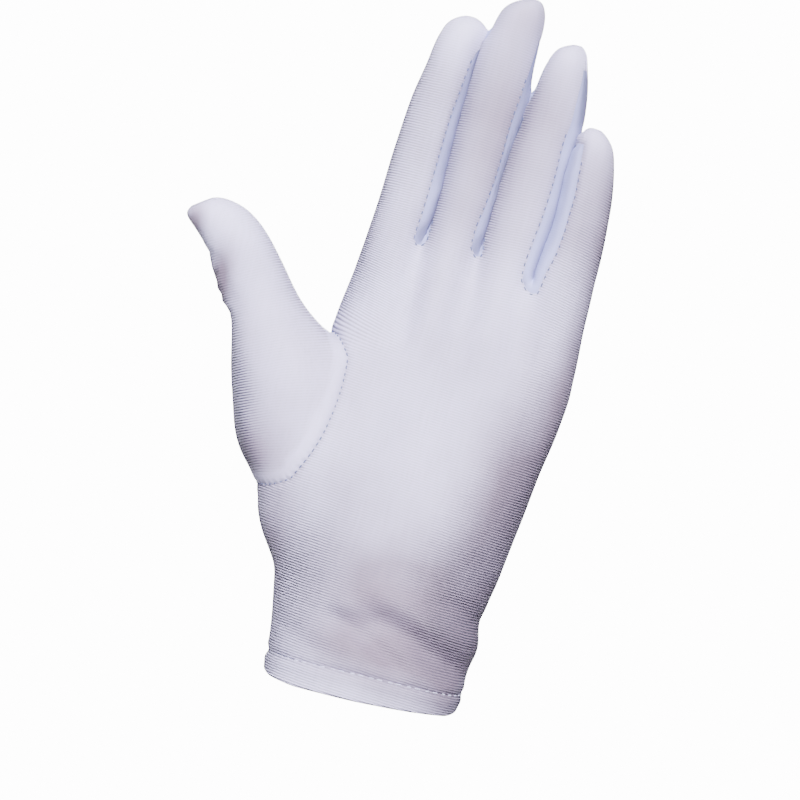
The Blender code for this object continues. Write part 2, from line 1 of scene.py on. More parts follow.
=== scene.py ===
# White parade glove, left hand: the cloth, seams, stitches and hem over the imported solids.
# Shape tables are in millimetres, meshes in metres, palm towards -Y and fingers up +Z.
import math
import bpy
import numpy as np
from mathutils import Matrix, Vector, kdtree, noise


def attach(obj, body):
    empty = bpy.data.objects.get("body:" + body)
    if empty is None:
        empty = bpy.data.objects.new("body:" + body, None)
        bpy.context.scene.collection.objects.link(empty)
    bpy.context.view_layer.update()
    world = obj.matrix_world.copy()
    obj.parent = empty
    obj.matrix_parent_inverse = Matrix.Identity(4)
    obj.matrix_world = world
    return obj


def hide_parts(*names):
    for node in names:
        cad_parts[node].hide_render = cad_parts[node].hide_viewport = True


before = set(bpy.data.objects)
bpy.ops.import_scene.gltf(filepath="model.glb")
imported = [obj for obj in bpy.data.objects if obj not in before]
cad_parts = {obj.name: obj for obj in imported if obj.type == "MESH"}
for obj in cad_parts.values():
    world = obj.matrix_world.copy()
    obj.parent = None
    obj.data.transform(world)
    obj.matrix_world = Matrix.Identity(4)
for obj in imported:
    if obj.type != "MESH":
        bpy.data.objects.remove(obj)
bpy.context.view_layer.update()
MM = 0.001

# Faces of the coarse cage: columns over a finger's front, its side and a notch; rows below,
# beside and above the thumb's hole; rows along a finger
FRONT_COLS, SIDE_COLS, NOTCH_COLS = 4, 4, 2
LOW_ROWS, HOLE_ROWS, HIGH_ROWS = 10, 8, 5
SHAFT_ROWS = 10
HALF_SIDE = SIDE_COLS // 2
HOLE_COLS = HALF_SIDE + 1
HOLE_TOP = LOW_ROWS + HOLE_ROWS
HALF = 2 * HALF_SIDE + 4 * FRONT_COLS + 3 * NOTCH_COLS
# Cells round the thumb's hole: row, columns from the middle
HOLE_EDGE = [(LOW_ROWS, k) for k in range(HOLE_COLS)]
HOLE_EDGE += [(j, HOLE_COLS) for j in range(LOW_ROWS, HOLE_TOP)]
HOLE_EDGE += [(HOLE_TOP, k) for k in range(HOLE_COLS, -1, -1)]
HOLE_HEIGHTS = (51.0, 104.0)
# How far the fingers' roots rise above the notches and at the webs, and drop at the back
NOTCH_RISE, WEB_RISE, BACK_DROP = 2.0, 8.5, 8.0
# How far below its notch the outer side of index and little finger begins
OUTER_DROPS = (9, 4)
# How far down the palm and back are drawn to the fingers' roots
TOP_REACH = 44.0
# Steps that even out the grid of palm and back
EVENING_STEPS = 500
# How square the palm, the fingers and their rounded ends are: 2 is an ellipse
PALM_POWER, FINGER_POWER, DOME_POWER = 2.5, 2.04, 2.3

# Sections of palm and back: height, left edge, right edge, front depth, back depth, lean per x
PALM = np.array([
    (-4, -31.0, 28.6, 19.6, 19.4, 0.0),
    (5, -31.6, 30.0, 19.0, 19.0, 0.0),
    (16, -33.5, 30.8, 18.2, 18.2, 0.0),
    (24, -35.4, 30.0, 17.6, 17.2, 0.0),
    (30, -37.0, 29.3, 17.4, 16.4, 0.0),
    (35, -40.4, 29.8, 17.4, 15.8, 0.0),
    (42, -45.4, 30.9, 17.4, 15.0, 0.0),
    (51, -50.3, 31.9, 17.4, 14.4, 0.005),
    (60, -51.0, 32.8, 17.2, 13.8, 0.01),
    (70, -49.8, 33.7, 16.8, 13.4, 0.02),
    (80, -47.5, 34.6, 16.2, 13.2, 0.03),
    (92, -44.2, 36.2, 15.2, 12.8, 0.045),
    (104, -41.6, 37.0, 14.0, 12.4, 0.065),
    (112, -39.9, 36.5, 13.0, 12.0, 0.085),
    (120, -38.6, 36.0, 12.0, 11.6, 0.11),
    (130, -37.8, 35.2, 10.8, 11.0, 0.14),
    (142, -37.4, 34.5, 9.8, 10.4, 0.17),
])
LEAN_X = -4.0

# Pads and hollows of the palm side: x, height, half width, half height, amount towards the viewer
FRONT_PADS = [
    (-33, 72, 15, 26, 3.4),
    (20, 48, 13, 24, 2.2),
    (-4, 84, 13, 20, -2.6),
    (-12, 122, 26, 9, 1.6),
]
# Knuckles of the back: x, height, half width, half height, amount away from the viewer
BACK_PADS = [
    (-29, 112, 6, 9, 1.4),
    (-10, 116, 6, 9, 1.8),
    (8, 112, 6, 9, 1.5),
    (25, 106, 6, 9, 1.3),
]

# Lower edge of the cuff and the hem line: share round each half from the left, height
HEM_EDGE = [(0, -0.2), (0.12, -2.2), (0.25, -2.8), (0.5, -1.9), (0.7, -0.6), (0.88, 0.8), (1, 3.6)]
HEM_LINE = [(0, 4.0), (0.2, 4.2), (0.5, 5.6), (0.8, 6.6), (1, 7.6)]
HEM_ROWS = (0.0, 0.33, 0.7, 1.0)

# Seam round the thumb: x and height of the palm side, then of the back
ARC_FRONT = np.array([
    (-50.2, 51), (-44.4, 51.2), (-38.9, 55.0), (-35.1, 60.4), (-32.5, 67.0), (-31.1, 75.4),
    (-30.7, 81.6), (-30.9, 87.3), (-31.5, 92.9), (-33.2, 98.7), (-36.4, 103.2), (-41.5, 104.7),
])
ARC_BACK = np.array([
    (-50.2, 51), (-46.5, 53.5), (-43.5, 58), (-41.2, 64), (-39.5, 71), (-38.6, 79),
    (-38.2, 87), (-38.2, 94), (-38.8, 100), (-41.5, 104.7),
])

# Thumb sections: outer x, outer height, inner x, inner height, mid y, front depth, back depth
THUMB = np.array([
    (-50.2, 51.0, -41.5, 104.7, 0.0, 17.0, 13.0),
    (-55.1, 57.2, -42.4, 105.0, -1.0, 17.4, 13.6),
    (-59.3, 64.4, -44.2, 105.8, -2.2, 17.0, 13.6),
    (-62.6, 73.6, -46.8, 107.4, -3.4, 15.6, 13.0),
    (-65.7, 82.6, -50.0, 109.9, -4.6, 13.8, 12.2),
    (-68.2, 92.2, -53.6, 113.4, -6.0, 12.0, 11.2),
    (-71.2, 101.2, -58.2, 118.6, -7.4, 10.8, 10.2),
    (-76.4, 107.6, -63.4, 124.4, -9.2, 10.0, 9.5),
    (-81.0, 115.4, -68.6, 129.4, -11.2, 9.3, 8.8),
    (-86.6, 121.6, -74.2, 132.9, -12.7, 8.0, 7.6),
    (-90.4, 124.9, -79.4, 134.3, -13.4, 6.2, 6.0),
    (-92.1, 127.4, -84.0, 134.2, -13.7, 3.9, 3.7),
])
THUMB_TIP = (-90.9, 129.6, -86.2, 133.2, -13.8)
THUMB_BLEND_ROWS = 5
THUMB_ROUND = 0.94

# Notches between the fingers, palm side: x, height
NOTCHES = [(-21.6, 139.3), (-3.6, 140.1), (12.8, 132.2)]

# Fingers: height, left edge, right edge
FINGERS = {
    "index": np.array([
        (120, -38.5, -21.6), (141, -37.4, -20.4), (144.5, -37.2, -18.8), (148, -37.1, -18.4),
        (154, -36.9, -18.6), (160, -36.8, -19.0), (176, -36.4, -19.35), (186, -35.4, -19.45),
        (193, -34.3, -19.5), (200, -33.6, -19.4), (205.4, -32.1, -18.9), (207.2, -30.8, -18.8),
        (208.6, -29.2, -20.4), (209.6, -27.2, -22.4)]),
    "middle": np.array([
        (120, -20.3, -4.0), (141, -20.1, -3.2), (144.5, -19.1, -2.0), (148, -18.9, -1.7),
        (154, -18.8, -1.8), (160, -18.9, -1.85), (170, -19.1, -1.6), (180, -19.3, -0.9),
        (187, -19.3, -0.4), (190, -19.3, -0.5), (194, -19.4, -1.1), (200, -19.2, -1.8),
        (207, -17.8, -2.2), (212, -16.8, -2.4), (215.7, -15.3, -2.9), (218, -13.0, -3.7),
        (219.6, -9.8, -5.0)]),
    "ring": np.array([
        (120, -1.9, 14.0), (134, -1.9, 15.0), (138, -2.0, 16.2), (142, -2.2, 16.8),
        (148, -2.2, 17.3), (154, -2.0, 17.6), (159, -1.9, 17.6), (165, -1.8, 17.3),
        (171, -1.5, 16.9), (179, -0.9, 17.15), (183, -0.6, 17.5), (187, -0.3, 17.8),
        (192, 0.1, 17.1), (199, 0.8, 15.7), (204, 1.9, 14.3), (207, 3.3, 13.2),
        (208.6, 5.2, 12.3), (209.4, 7.2, 11.0)]),
    "little": np.array([
        (115, 16.2, 35.9), (134, 16.0, 35.0), (141, 16.1, 34.6), (148, 16.9, 34.5),
        (155, 17.4, 34.0), (164, 17.2, 33.0), (171, 16.6, 31.8), (176, 16.8, 30.5),
        (180, 17.0, 29.3), (183, 17.3, 27.5), (184.8, 18.0, 25.6), (185.9, 19.2, 23.8)]),
}
# Tip height, length of the rounded end, middle y at root, forward curl of the tip, half depths
FINGER_BODY = {
    "index": (210.0, 11.0, 4.2, 4.5, 9.4, 7.4),
    "middle": (220.2, 12.0, 1.1, 5.5, 9.6, 7.6),
    "ring": (209.8, 11.0, -2.1, 6.0, 9.3, 7.3),
    "little": (186.4, 9.0, -5.4, 5.5, 8.7, 6.5),
}
# Strip edges, degrees round from the side: height, towards the palm, towards the back
STRIPS = {
    ("index", "right"): [(141, 49, 46), (147, 56, 46), (160, 51, 46), (180, 47, 42),
                         (193, 39, 34), (199, 31, 26), (204, 13, 13)],
    ("middle", "left"): [(141, 14, 48), (147, 2, 60), (160, -4, 62), (195, -2, 52), (212, 6, 14)],
    ("middle", "right"): [(141, 40, 46), (148, 54, 46), (158, 40, 46), (167, 38, 46),
                          (186, 48, 42), (195, 36, 34), (212, 10, 12)],
    ("ring", "left"): [(141, 14, 48), (147, 2, 58), (160, -2, 58), (188, -2, 50), (203, 6, 14)],
    ("ring", "right"): [(135, 52, 46), (144, 58, 46), (160, 52, 44), (170, 48, 42), (180, 54, 36),
                        (190, 57, 20), (198, 49, -8), (204, 42, -26)],
    ("little", "left"): [(134, 36, 46), (145, 52, 46), (158, 53, 46), (167, 57, 42),
                         (175, 54, 30), (182, 44, -18)],
    ("index", "left"): [(120, 45, 45), (204, 30, 30)],
    ("little", "right"): [(115, 45, 45), (182, 30, 30)],
}
NAMES = ["index", "middle", "ring", "little"]
STRIP_OF = {}
for one, two in zip(NAMES, NAMES[1:]):
    STRIP_OF[one, "right"] = STRIP_OF[two, "left"] = f"fourchette_{one}_{two}"
# Where a finger's body begins; loops of the rounded end; width and sag of the line that closes it
BODY_START = 135
DOME = np.array([0.34, 0.62, 0.83, 0.955])
CLOSE_WIDTH, CLOSE_SAG = 0.62, 0.5


def interp(table, at, column):
    table = np.asarray(table, float)
    return np.interp(at, table[:, 0], table[:, column])


def smooth_step(t):
    t = np.clip(t, 0.0, 1.0)
    return t * t * (3 - 2 * t)


def bump(pads, x, z):
    """Sum of soft patches: x, height, half width, half height, amount."""
    return sum(amount * np.exp(-((x - px) / width) ** 2 - ((z - pz) / height) ** 2)
               for px, pz, width, height, amount in pads)


def palm_section(z, front, count=97):
    """Palm or back at height z, from the left edge to the right edge."""
    left, right, depth = (float(interp(PALM, z, i)) for i in (1, 2, 3 if front else 4))
    angle = np.linspace(0, np.pi, count)
    power = 2 / PALM_POWER
    u = -np.sign(np.cos(angle)) * np.abs(np.cos(angle)) ** power
    v = np.abs(np.sin(angle)) ** power
    x = (left + right) / 2 + (right - left) / 2 * u
    pads = bump(FRONT_PADS if front else BACK_PADS, x, z) * v
    y = (depth * v + pads) * (-1 if front else 1) - float(interp(PALM, z, 5)) * (x - LEAN_X)
    return x, y


def arc_share(x, y):
    length = np.concatenate([[0], np.cumsum(np.hypot(np.diff(x), np.diff(y)))])
    return length / length[-1]


def share_of_x(x_at, z, front):
    x, y = palm_section(z, front)
    return float(np.interp(x_at, x, arc_share(x, y)))


def palm_point(e, z):
    """A point below the fingers: e runs -1 to 0 over the back and 0 to 1 over the palm."""
    x, y = palm_section(z, e >= 0)
    share = arc_share(x, y)
    return np.array([np.interp(abs(e), share, x), np.interp(abs(e), share, y), z])


def run_lengths(path):
    """Length along a polyline up to each of its points."""
    return np.concatenate([[0], np.cumsum(np.linalg.norm(np.diff(path, axis=0), axis=1))])


def at_length(spots, lengths, path):
    """The polyline's points at the given lengths along it."""
    return np.stack([np.interp(spots, lengths, path[:, k]) for k in range(path.shape[1])], -1)


def along(points, count):
    """Points evenly spaced along a polyline, ends included."""
    lengths = run_lengths(points)
    return at_length(np.linspace(0, lengths[-1], count), lengths, points)


def stepped(marks, counts):
    """Evenly spaced numbers from each mark to the next, without the last mark."""
    spans = zip(marks, marks[1:], counts)
    return np.concatenate([np.linspace(a, b, n + 1)[:-1] for a, b, n in spans])


# Finger loops run from the middle of the left side over the front, right side and back
LOOP = 2 * FRONT_COLS + 2 * SIDE_COLS
FRONT_AT = HALF_SIDE
RIGHT_AT = HALF_SIDE + FRONT_COLS
BACK_AT = RIGHT_AT + SIDE_COLS
LEFT_AT = BACK_AT + FRONT_COLS


def loop_angles(name, z):
    """Degrees of each loop vertex at height z, measured from +X through the palm side (-Y)."""
    right_f, right_b = (float(interp(STRIPS[name, "right"], z, i)) for i in (1, 2))
    left_f, left_b = (float(interp(STRIPS[name, "left"], z, i)) for i in (1, 2))
    right_mid, left_mid = (right_f - right_b) / 2, (left_f - left_b) / 2
    if name == "index":
        left_mid = 0
    if name == "little":
        right_mid = 0
    marks = [180 - left_mid, 180 - left_f, right_f, right_mid, -right_b, -180 + left_b, -180 - left_mid]
    counts = (HALF_SIDE, FRONT_COLS, HALF_SIDE, HALF_SIDE, FRONT_COLS, HALF_SIDE)
    return stepped(marks, counts)


def root_height(name, angle, k):
    """Height of the finger's first loop at this angle: webs rise between neighbouring fingers."""
    i = NAMES.index(name)
    web = 0.0
    for facing, at in (("right", k - RIGHT_AT), ("left", (k - LEFT_AT) % LOOP)):
        if (name, facing) in STRIP_OF and 0 <= at <= SIDE_COLS:
            web = WEB_RISE * np.sin(np.pi * at / SIDE_COLS)
    heights = [NOTCHES[0][1] - OUTER_DROPS[0], *(z + NOTCH_RISE for _, z in NOTCHES),
               NOTCHES[2][1] - OUTER_DROPS[1]]
    side = (1 + np.cos(np.radians(angle))) / 2
    back = (1 - np.sin(np.radians(angle))) / 2
    return heights[i] * (1 - side) + heights[i + 1] * side - BACK_DROP * back + web


def finger_point(name, angle, z):
    tip, dome, y_root, curl, depth_root, depth_tip = FINGER_BODY[name]
    left, right = float(interp(FINGERS[name], z, 1)), float(interp(FINGERS[name], z, 2))
    share = np.clip((z - BODY_START) / (tip - BODY_START), 0, 1)
    depth = depth_root + (depth_tip - depth_root) * share
    into = np.clip((z - (tip - dome)) / dome, 0, 1)
    depth *= (1 - into ** DOME_POWER) ** (1 / DOME_POWER)
    c, s = np.cos(np.radians(angle)), np.sin(np.radians(angle))
    power = 2 / FINGER_POWER
    x = (left + right) / 2 + (right - left) / 2 * np.sign(c) * abs(c) ** power
    y = y_root - curl * share ** 2 - depth * np.sign(s) * abs(s) ** power
    return np.array([x, y, z])


def finger_rows(name):
    """Loops of one finger from root to tip, then the line that closes it."""
    tip, dome = FINGER_BODY[name][:2]
    start = tip - dome
    low = loop_angles(name, float(STRIPS[name, "right"][0][0]))
    rows = []
    for t in np.arange(SHAFT_ROWS + 1) / SHAFT_ROWS:
        row = []
        for k in range(LOOP):
            base = root_height(name, low[k], k)
            z = base + (start - base) * t
            row.append(finger_point(name, loop_angles(name, z)[k], z))
        rows.append(np.array(row))
    for z in start + dome * DOME:
        rows.append(np.array([finger_point(name, a, z) for a in loop_angles(name, z)]))
    half = LOOP // 2
    close = np.array([(rows[-1][k] + rows[-1][(LOOP - k) % LOOP]) / 2 for k in range(half + 1)])
    middle = close[[0, -1]].mean(0)
    close = middle + (close - middle) * (CLOSE_WIDTH, 1, 1)
    close[:, 2] = tip - CLOSE_SAG * (np.linspace(-1, 1, half + 1) ** 2)
    return rows, close


def left_side(loop):
    """A finger's left side, from the palm side to the back."""
    side = [loop[FRONT_AT], *loop[FRONT_AT - 1::-1], *loop[:LEFT_AT - 1:-1]]
    return np.array(side[:SIDE_COLS + 1])


class Cage:
    """Faces of the whole glove with shared corners, each with its piece and its side."""

    def __init__(self):
        self.points, self.faces, self.piece, self.side = [], [], [], []
        self.count = 0

    def grid(self, grid, label):
        """Faces over a grid of points. label(row, column) gives piece and side, or None."""
        rows, columns = grid.shape[:2]
        base = self.count
        self.points.append(grid.reshape(-1, 3))
        self.count += rows * columns
        for i in range(rows - 1):
            for j in range(columns - 1):
                found = label(i, j)
                if found is None:
                    continue
                a = base + i * columns + j
                self.faces.append((a, a + 1, a + columns + 1, a + columns))
                self.piece.append(found[0])
                self.side.append(found[1])

    def weld(self):
        points = np.concatenate(self.points)
        _, first, index = np.unique(
            np.round(points, 3), axis=0, return_index=True, return_inverse=True)
        index = index.reshape(-1)
        faces = [[index[v] for v in f] for f in self.faces]
        faces = [[v for n, v in enumerate(f) if v != f[n - 1]] for f in faces]
        used = np.unique(np.concatenate([np.array(f) for f in faces]))
        rank = -np.ones(len(first), int)
        rank[used] = np.arange(len(used))
        return points[first][used], [[int(rank[v]) for v in f] for f in faces]


def palm_top(roots, notch):
    """Top row of palm and back by its column: the fingers' first loops and the notches."""
    top = {}
    for i, loop in enumerate(roots):
        start = HALF_SIDE + i * (FRONT_COLS + NOTCH_COLS)
        for k in range(FRONT_COLS + 1):
            top[start + k] = loop[FRONT_AT + k]
            top[-(start + k)] = loop[(LEFT_AT - k) % LOOP]
        if i < len(notch):
            top[start + FRONT_COLS + 1] = notch[i][0]
            top[-(start + FRONT_COLS + 1)] = notch[i][-1]
    index, little = roots[0], roots[-1]
    for k in range(HALF_SIDE + 1):
        top[k] = index[k]
        top[-k] = index[(LOOP - k) % LOOP]
        top[HALF - k] = little[RIGHT_AT + HALF_SIDE - k]
        top[-(HALF - k)] = little[RIGHT_AT + HALF_SIDE + k]
    return top


def unrolled_palm(top):
    """Grid of palm and back from the hem line up, with the e and height of its lowest row."""
    rows = HOLE_TOP + HIGH_ROWS
    e = np.zeros((rows + 1, 2 * HALF + 1))
    z = np.zeros_like(e)
    for c in range(-HALF, HALF + 1):
        x_top, _, z_top = top[c]
        share = 0.0 if c == 0 else 1.0 if abs(c) == HALF else share_of_x(x_top, z_top, c > 0)
        e[:, c + HALF] = share if c >= 0 else -share
        z[0, c + HALF], z[rows, c + HALF] = interp(HEM_LINE, share, 1), z_top
    marks = [z[0, -1], *HOLE_HEIGHTS, z[rows, -1]]
    edge = np.append(stepped(marks, (LOW_ROWS, HOLE_ROWS, HIGH_ROWS)), marks[-1])
    t = (edge - edge[0]) / (edge[-1] - edge[0])
    z[1:rows] = (z[0] + (z[rows] - z[0]) * t[:, None])[1:rows]
    free = np.ones(e.shape, bool)
    free[[0, rows]] = False
    free[:, [0, -1]] = False
    free[LOW_ROWS + 1:HOLE_TOP, HALF - HOLE_COLS + 1:HALF + HOLE_COLS] = False
    for sign, arc in ((1, ARC_FRONT), (-1, ARC_BACK)):
        for (j, k), (px, pz) in zip(HOLE_EDGE, along(arc, len(HOLE_EDGE))):
            e[j, HALF + sign * k] = 0.0 if k == 0 else sign * share_of_x(px, pz, sign > 0)
            z[j, HALF + sign * k] = pz
            free[j, HALF + sign * k] = False
    for _ in range(EVENING_STEPS):
        for grid in (e, z):
            mean = grid.copy()
            mean[1:-1, 1:-1] = (grid[:-2, 1:-1] + grid[2:, 1:-1]
                                + grid[1:-1, :-2] + grid[1:-1, 2:]) / 4
            grid[free] = mean[free]
    palm = np.array([[palm_point(*at) for at in zip(*row)] for row in zip(e, z)])
    for c in range(2 * HALF + 1):
        pull = top[c - HALF] - palm[rows, c]
        reach = smooth_step(1 - (palm[rows, c, 2] - palm[:, c, 2]) / TOP_REACH)
        palm[:, c] += reach[:, None] * pull
    palm[:, -1] = palm[:, 0]
    return palm, e[0], z[0]


def palm_label(j, c):
    if LOW_ROWS <= j < HOLE_TOP and HALF - HOLE_COLS <= c < HALF + HOLE_COLS:
        return None
    if HALF - HALF_SIDE <= c < HALF + HALF_SIDE:
        return "trank", "fold"
    return "trank", "front" if c >= HALF else "back"


def hem_band(palm, e, z):
    """Rows of the hem, from its lower edge up to the hem line."""
    edge = interp(HEM_EDGE, np.abs(e), 1)
    hem = np.array([[palm_point(at, low + (high - low) * share)
                     for at, low, high in zip(e, edge, z)] for share in HEM_ROWS])
    hem[-1] = palm[0]
    hem[:, -1] = hem[:, 0]
    return hem


def finger_label(name, ring):
    """Gives the piece and side of each face of a finger's grid."""
    end = {side: STRIPS[name, side][-1][0] for side in ("left", "right")}

    def label(i, k):
        left = k >= LEFT_AT or k < FRONT_AT
        side = "right" if RIGHT_AT <= k < BACK_AT else "left" if left else None
        if (name, side) in STRIP_OF and ring[i + 1, k, 2] < end[side]:
            return STRIP_OF[name, side], "fold"
        if name == "index" and left:
            return "trank", "fold"
        return "trank", "front" if k < RIGHT_AT + HALF_SIDE else "back"

    return label


def thumb_tube(palm):
    """Loops of the thumb from its seam to the tip, each over the palm side and round the back."""
    front = np.array([palm[j, HALF + k] for j, k in HOLE_EDGE])
    back = np.array([palm[j, HALF - k] for j, k in HOLE_EDGE])
    count = len(HOLE_EDGE)
    angle = np.linspace(0, np.pi, count)

    def section(row):
        ox, oz, ix, iz, y, deep_f, deep_b = row
        outer, inner = np.array([ox, y, oz]), np.array([ix, y, iz])
        mid, reach = (outer + inner) / 2, (outer - inner) / 2
        across = np.cos(angle)[:, None] * reach
        rise = np.sin(angle)[:, None] ** THUMB_ROUND
        return mid + across + rise * (0, -deep_f, 0), mid + across + rise * (0, deep_b, 0)

    zero_front, zero_back = section(THUMB[0])
    tube = []
    for r, row in enumerate(THUMB):
        part_front, part_back = section(row)
        stay = 1 - smooth_step(r / THUMB_BLEND_ROWS)
        part_front = part_front + stay * (front - zero_front)
        part_back = part_back + stay * (back - zero_back)
        part_back[0], part_back[-1] = part_front[0], part_front[-1]
        tube.append(np.concatenate([part_front, part_back[-2::-1]]))
    ox, oz, ix, iz, y = THUMB_TIP
    line = np.linspace((ox, y, oz), (ix, y, iz), count)
    tube.append(np.concatenate([line, line[-2::-1]]))
    return np.array(tube)


def build_cage():
    """The whole glove as one coarse cage: palm and back, hem, fingers, crotches and thumb."""
    cage = Cage()
    fingers = [finger_rows(name) for name in NAMES]
    roots = [loops[0] for loops, _ in fingers]
    sides = [(a[RIGHT_AT:BACK_AT + 1], left_side(b)) for a, b in zip(roots, roots[1:])]
    drop = NOTCH_RISE * (1.0 - 0.35 * np.sin(np.pi * np.linspace(0, 1, SIDE_COLS + 1)))
    notch = [(a + b) / 2 - drop[:, None] * (0, 0, 1) for a, b in sides]
    palm, e, z = unrolled_palm(palm_top(roots, notch))
    cage.grid(palm, palm_label)
    cage.grid(hem_band(palm, e, z), lambda i, j: ("cuff_hem", "fold"))
    for name, (loops, close) in zip(NAMES, fingers):
        ring = [np.concatenate([row, row[:1]]) for row in loops]
        ring = np.array([*ring, np.concatenate([close, close[-2::-1]])])
        cage.grid(ring, finger_label(name, ring))
    for (a, b), middle, name in zip(sides, notch, NAMES):
        found = STRIP_OF[name, "right"], "fold"
        cage.grid(np.array([a, middle, b]).transpose(1, 0, 2), lambda i, j, found=found: found)
    cage.grid(thumb_tube(palm), lambda i, j: ("thumb", "fold"))
    return cage


def relax(points, faces, weight, times):
    """Pulls each point towards the mean of its neighbours by its own weight."""
    pairs = {(min(v, f[n - 1]), max(v, f[n - 1])) for f in faces for n, v in enumerate(f)}
    pairs = np.array(sorted(pairs))
    for _ in range(times):
        total = np.zeros_like(points)
        number = np.zeros(len(points))
        for a, b in ((0, 1), (1, 0)):
            np.add.at(total, pairs[:, a], points[pairs[:, b]])
            np.add.at(number, pairs[:, a], 1)
        points = points + weight[:, None] * (total / number[:, None] - points)
    return points


# Fine cloth
LEVELS = 2
CLOTH = 0.7
# The turned hem: its thickness, how far its lower edge rounds out, how far the band bulges
HEM_CLOTH, HEM_TURN, HEM_BULGE = 1.7, 0.75, 0.30
# Heights between which neighbouring fingers are pressed together, and the most that a side moves
PRESS_FROM, PRESS_TO, MOST_PUSH = 118, 210, 0.9
# Cloth faces its neighbour when it turns this far to the side, the neighbour turns back this
# far, and it lies at most this far ahead
TURNED, TURNED_BACK, MOST_AHEAD = 0.55, -0.6, 1.3
# How far the strips swell near the notches
SWELL = 0.75
# Reach, strength and steps of the smoothing round the notches and along the thumb's seam
NOTCH_REACH, ARC_REACH, EASE, EASE_STEPS = 13, 9, 0.45, 4
# Ribs on the thumb for each rib elsewhere
THUMB_RIBS = 0.88
RIB_PITCH = 0.80
PIECES = ["trank", "thumb", "fourchette_index_middle", "fourchette_middle_ring",
          "fourchette_ring_little", "cuff_hem"]
# Each face's label gives its piece and side; a seam closes the trank's palm and back sides
LABELS = [("trank", "front"), ("trank", "back"), *((piece, "fold") for piece in PIECES)]
PALM_SIDE, BACK_SIDE = 0, 1
PIECE_OF = np.array([PIECES.index(piece) for piece, _ in LABELS])
STRIP_LABELS = [n for n, (piece, _) in enumerate(LABELS) if piece.startswith("fourchette")]

# Folds of the wrist: x and height of both ends, half width, depth, ridge above it
FINE_FOLDS = [
    (-10, 23.6, 36, 13.4, 4.2, 3.3, 1.7),
    (-19, 21.2, 14, 10.5, 3.0, 2.2, 0.9),
    (16, 35.0, 31, 30.5, 2.2, 0.5, 0.3),
    (-31, 13.0, -14, 9.0, 2.4, 0.4, 0.2),
]
# Wrinkles on the outer side of the thumb's joint: x, height; then their directions in x and height
THUMB_WRINKLES = [(-79.9, 114.0), (-78.0, 110.4), (-75.8, 107.2), (-73.6, 104.2)]
WRINKLE_RUN, WRINKLE_RISE = np.array([0.94, -0.34]), np.array([0.34, 0.94])
# Unevenness of the cloth: wave length, amount
UNEVEN = [(17.0, 0.22), (6.5, 0.05)]
# How far the ribs rise, in mm, going towards the little finger: x, rise
FINGER_RISE = [(-40, -0.6), (-17, 0.0), (1, -0.6), (18, 0.5), (40, -3.2)]
THUMB_RISE = [(-95, 0), (-62, 19.0), (-50, 24.8), (-38, 29.0), (-26, 31.0)]
# Where the ribs stand out on the palm side, with deeper bumps and more painted shade between them: x,
# height, half width, half height, strength
RIB_PATCHES = [
    (-29, 26, 14, 26, 0.65), (21, 36, 13, 24, 0.8), (30, 75, 10, 30, 0.45),
    (-33, 125, 8, 13, 0.35), (-31, 168, 7, 28, 0.25), (29, 140, 7, 24, 0.30),
]
# Painted shade on the palm side, darker and warmer, where the wrist, its folds, the palm's right side,
# the fingers' sides and the thumb's wrinkles lie in shade; negative strengths paint it lighter: x,
# height, half width, half height, strength
PAINTED_SHADE = [
    (2, 28, 32, 24, 0.85), (28, 66, 14, 40, 0.90), (22, 24, 14, 14, 0.70), (-2, 92, 24, 24, 0.06),
    (-29, 175, 8, 28, 0.16), (-8, 182, 12, 40, 0.62), (-9, 214, 8, 9, 0.45), (10, 186, 9, 32, 0.45),
    (27, 158, 9, 26, 0.50), (34, 150, 4, 44, 0.45), (35, 104, 6, 24, 0.40), (-77, 107, 4, 12, 1.3),
    (-89, 124, 4, 8, 1.2), (-55, 60, 12, 10, 0.75), (-34, 118, 8, 14, -0.15), (27, 2, 7, 9, 0.35),
    (-8, 13, 16, 8, 0.35), (0, 37, 18, 9, 0.30), (-40, 37, 6, 20, 0.50), (-5, -2, 28, 4, -0.25),
]
# Finger and thumb ends, where the cloth is stretched smooth and painted with less shade: x, height,
# radius
SMOOTH_ENDS = [(-26, 206, 13), (-9, 217, 13), (8, 206, 13), (24, 183, 12), (-87, 130, 17)]
# Depth of the puckers and of the groove along each kind of seam
PUCKER = {"thumb": 0.55, "hem": 0.40, "finger": 0.18}
GROOVE = {"thumb": 0.42, "hem": 0.50, "finger": 0.38}
# Steps in which the seams are measured, and how far from them they still count
SEAM_STEP, SEAM_REACH = 0.2, 9.0


def link(name, data):
    """A new object in the scene."""
    obj = bpy.data.objects.new(name, data)
    bpy.context.scene.collection.objects.link(obj)
    return obj


def tree_of(points):
    tree = kdtree.KDTree(len(points))
    for i, place in enumerate(points):
        tree.insert(place, i)
    tree.balance()
    return tree


def by_kind(kind, table, other):
    """The table's value for each point's kind of seam."""
    return np.select([kind == name for name in table], list(table.values()), other)


def unit(vectors):
    return vectors / np.maximum(np.linalg.norm(vectors, axis=1), 1e-9)[:, None]


def evaluated_arrays(obj):
    graph = bpy.context.evaluated_depsgraph_get()
    mesh = obj.evaluated_get(graph).to_mesh()
    points = np.empty(len(mesh.vertices) * 3)
    mesh.vertices.foreach_get("co", points)
    corners = np.empty(len(mesh.loops), np.int32)
    mesh.loops.foreach_get("vertex_index", corners)
    label = np.empty(len(mesh.polygons), np.int32)
    mesh.polygons.foreach_get("material_index", label)
    obj.evaluated_get(graph).to_mesh_clear()
    return points.reshape(-1, 3), corners.reshape(-1, 4), label


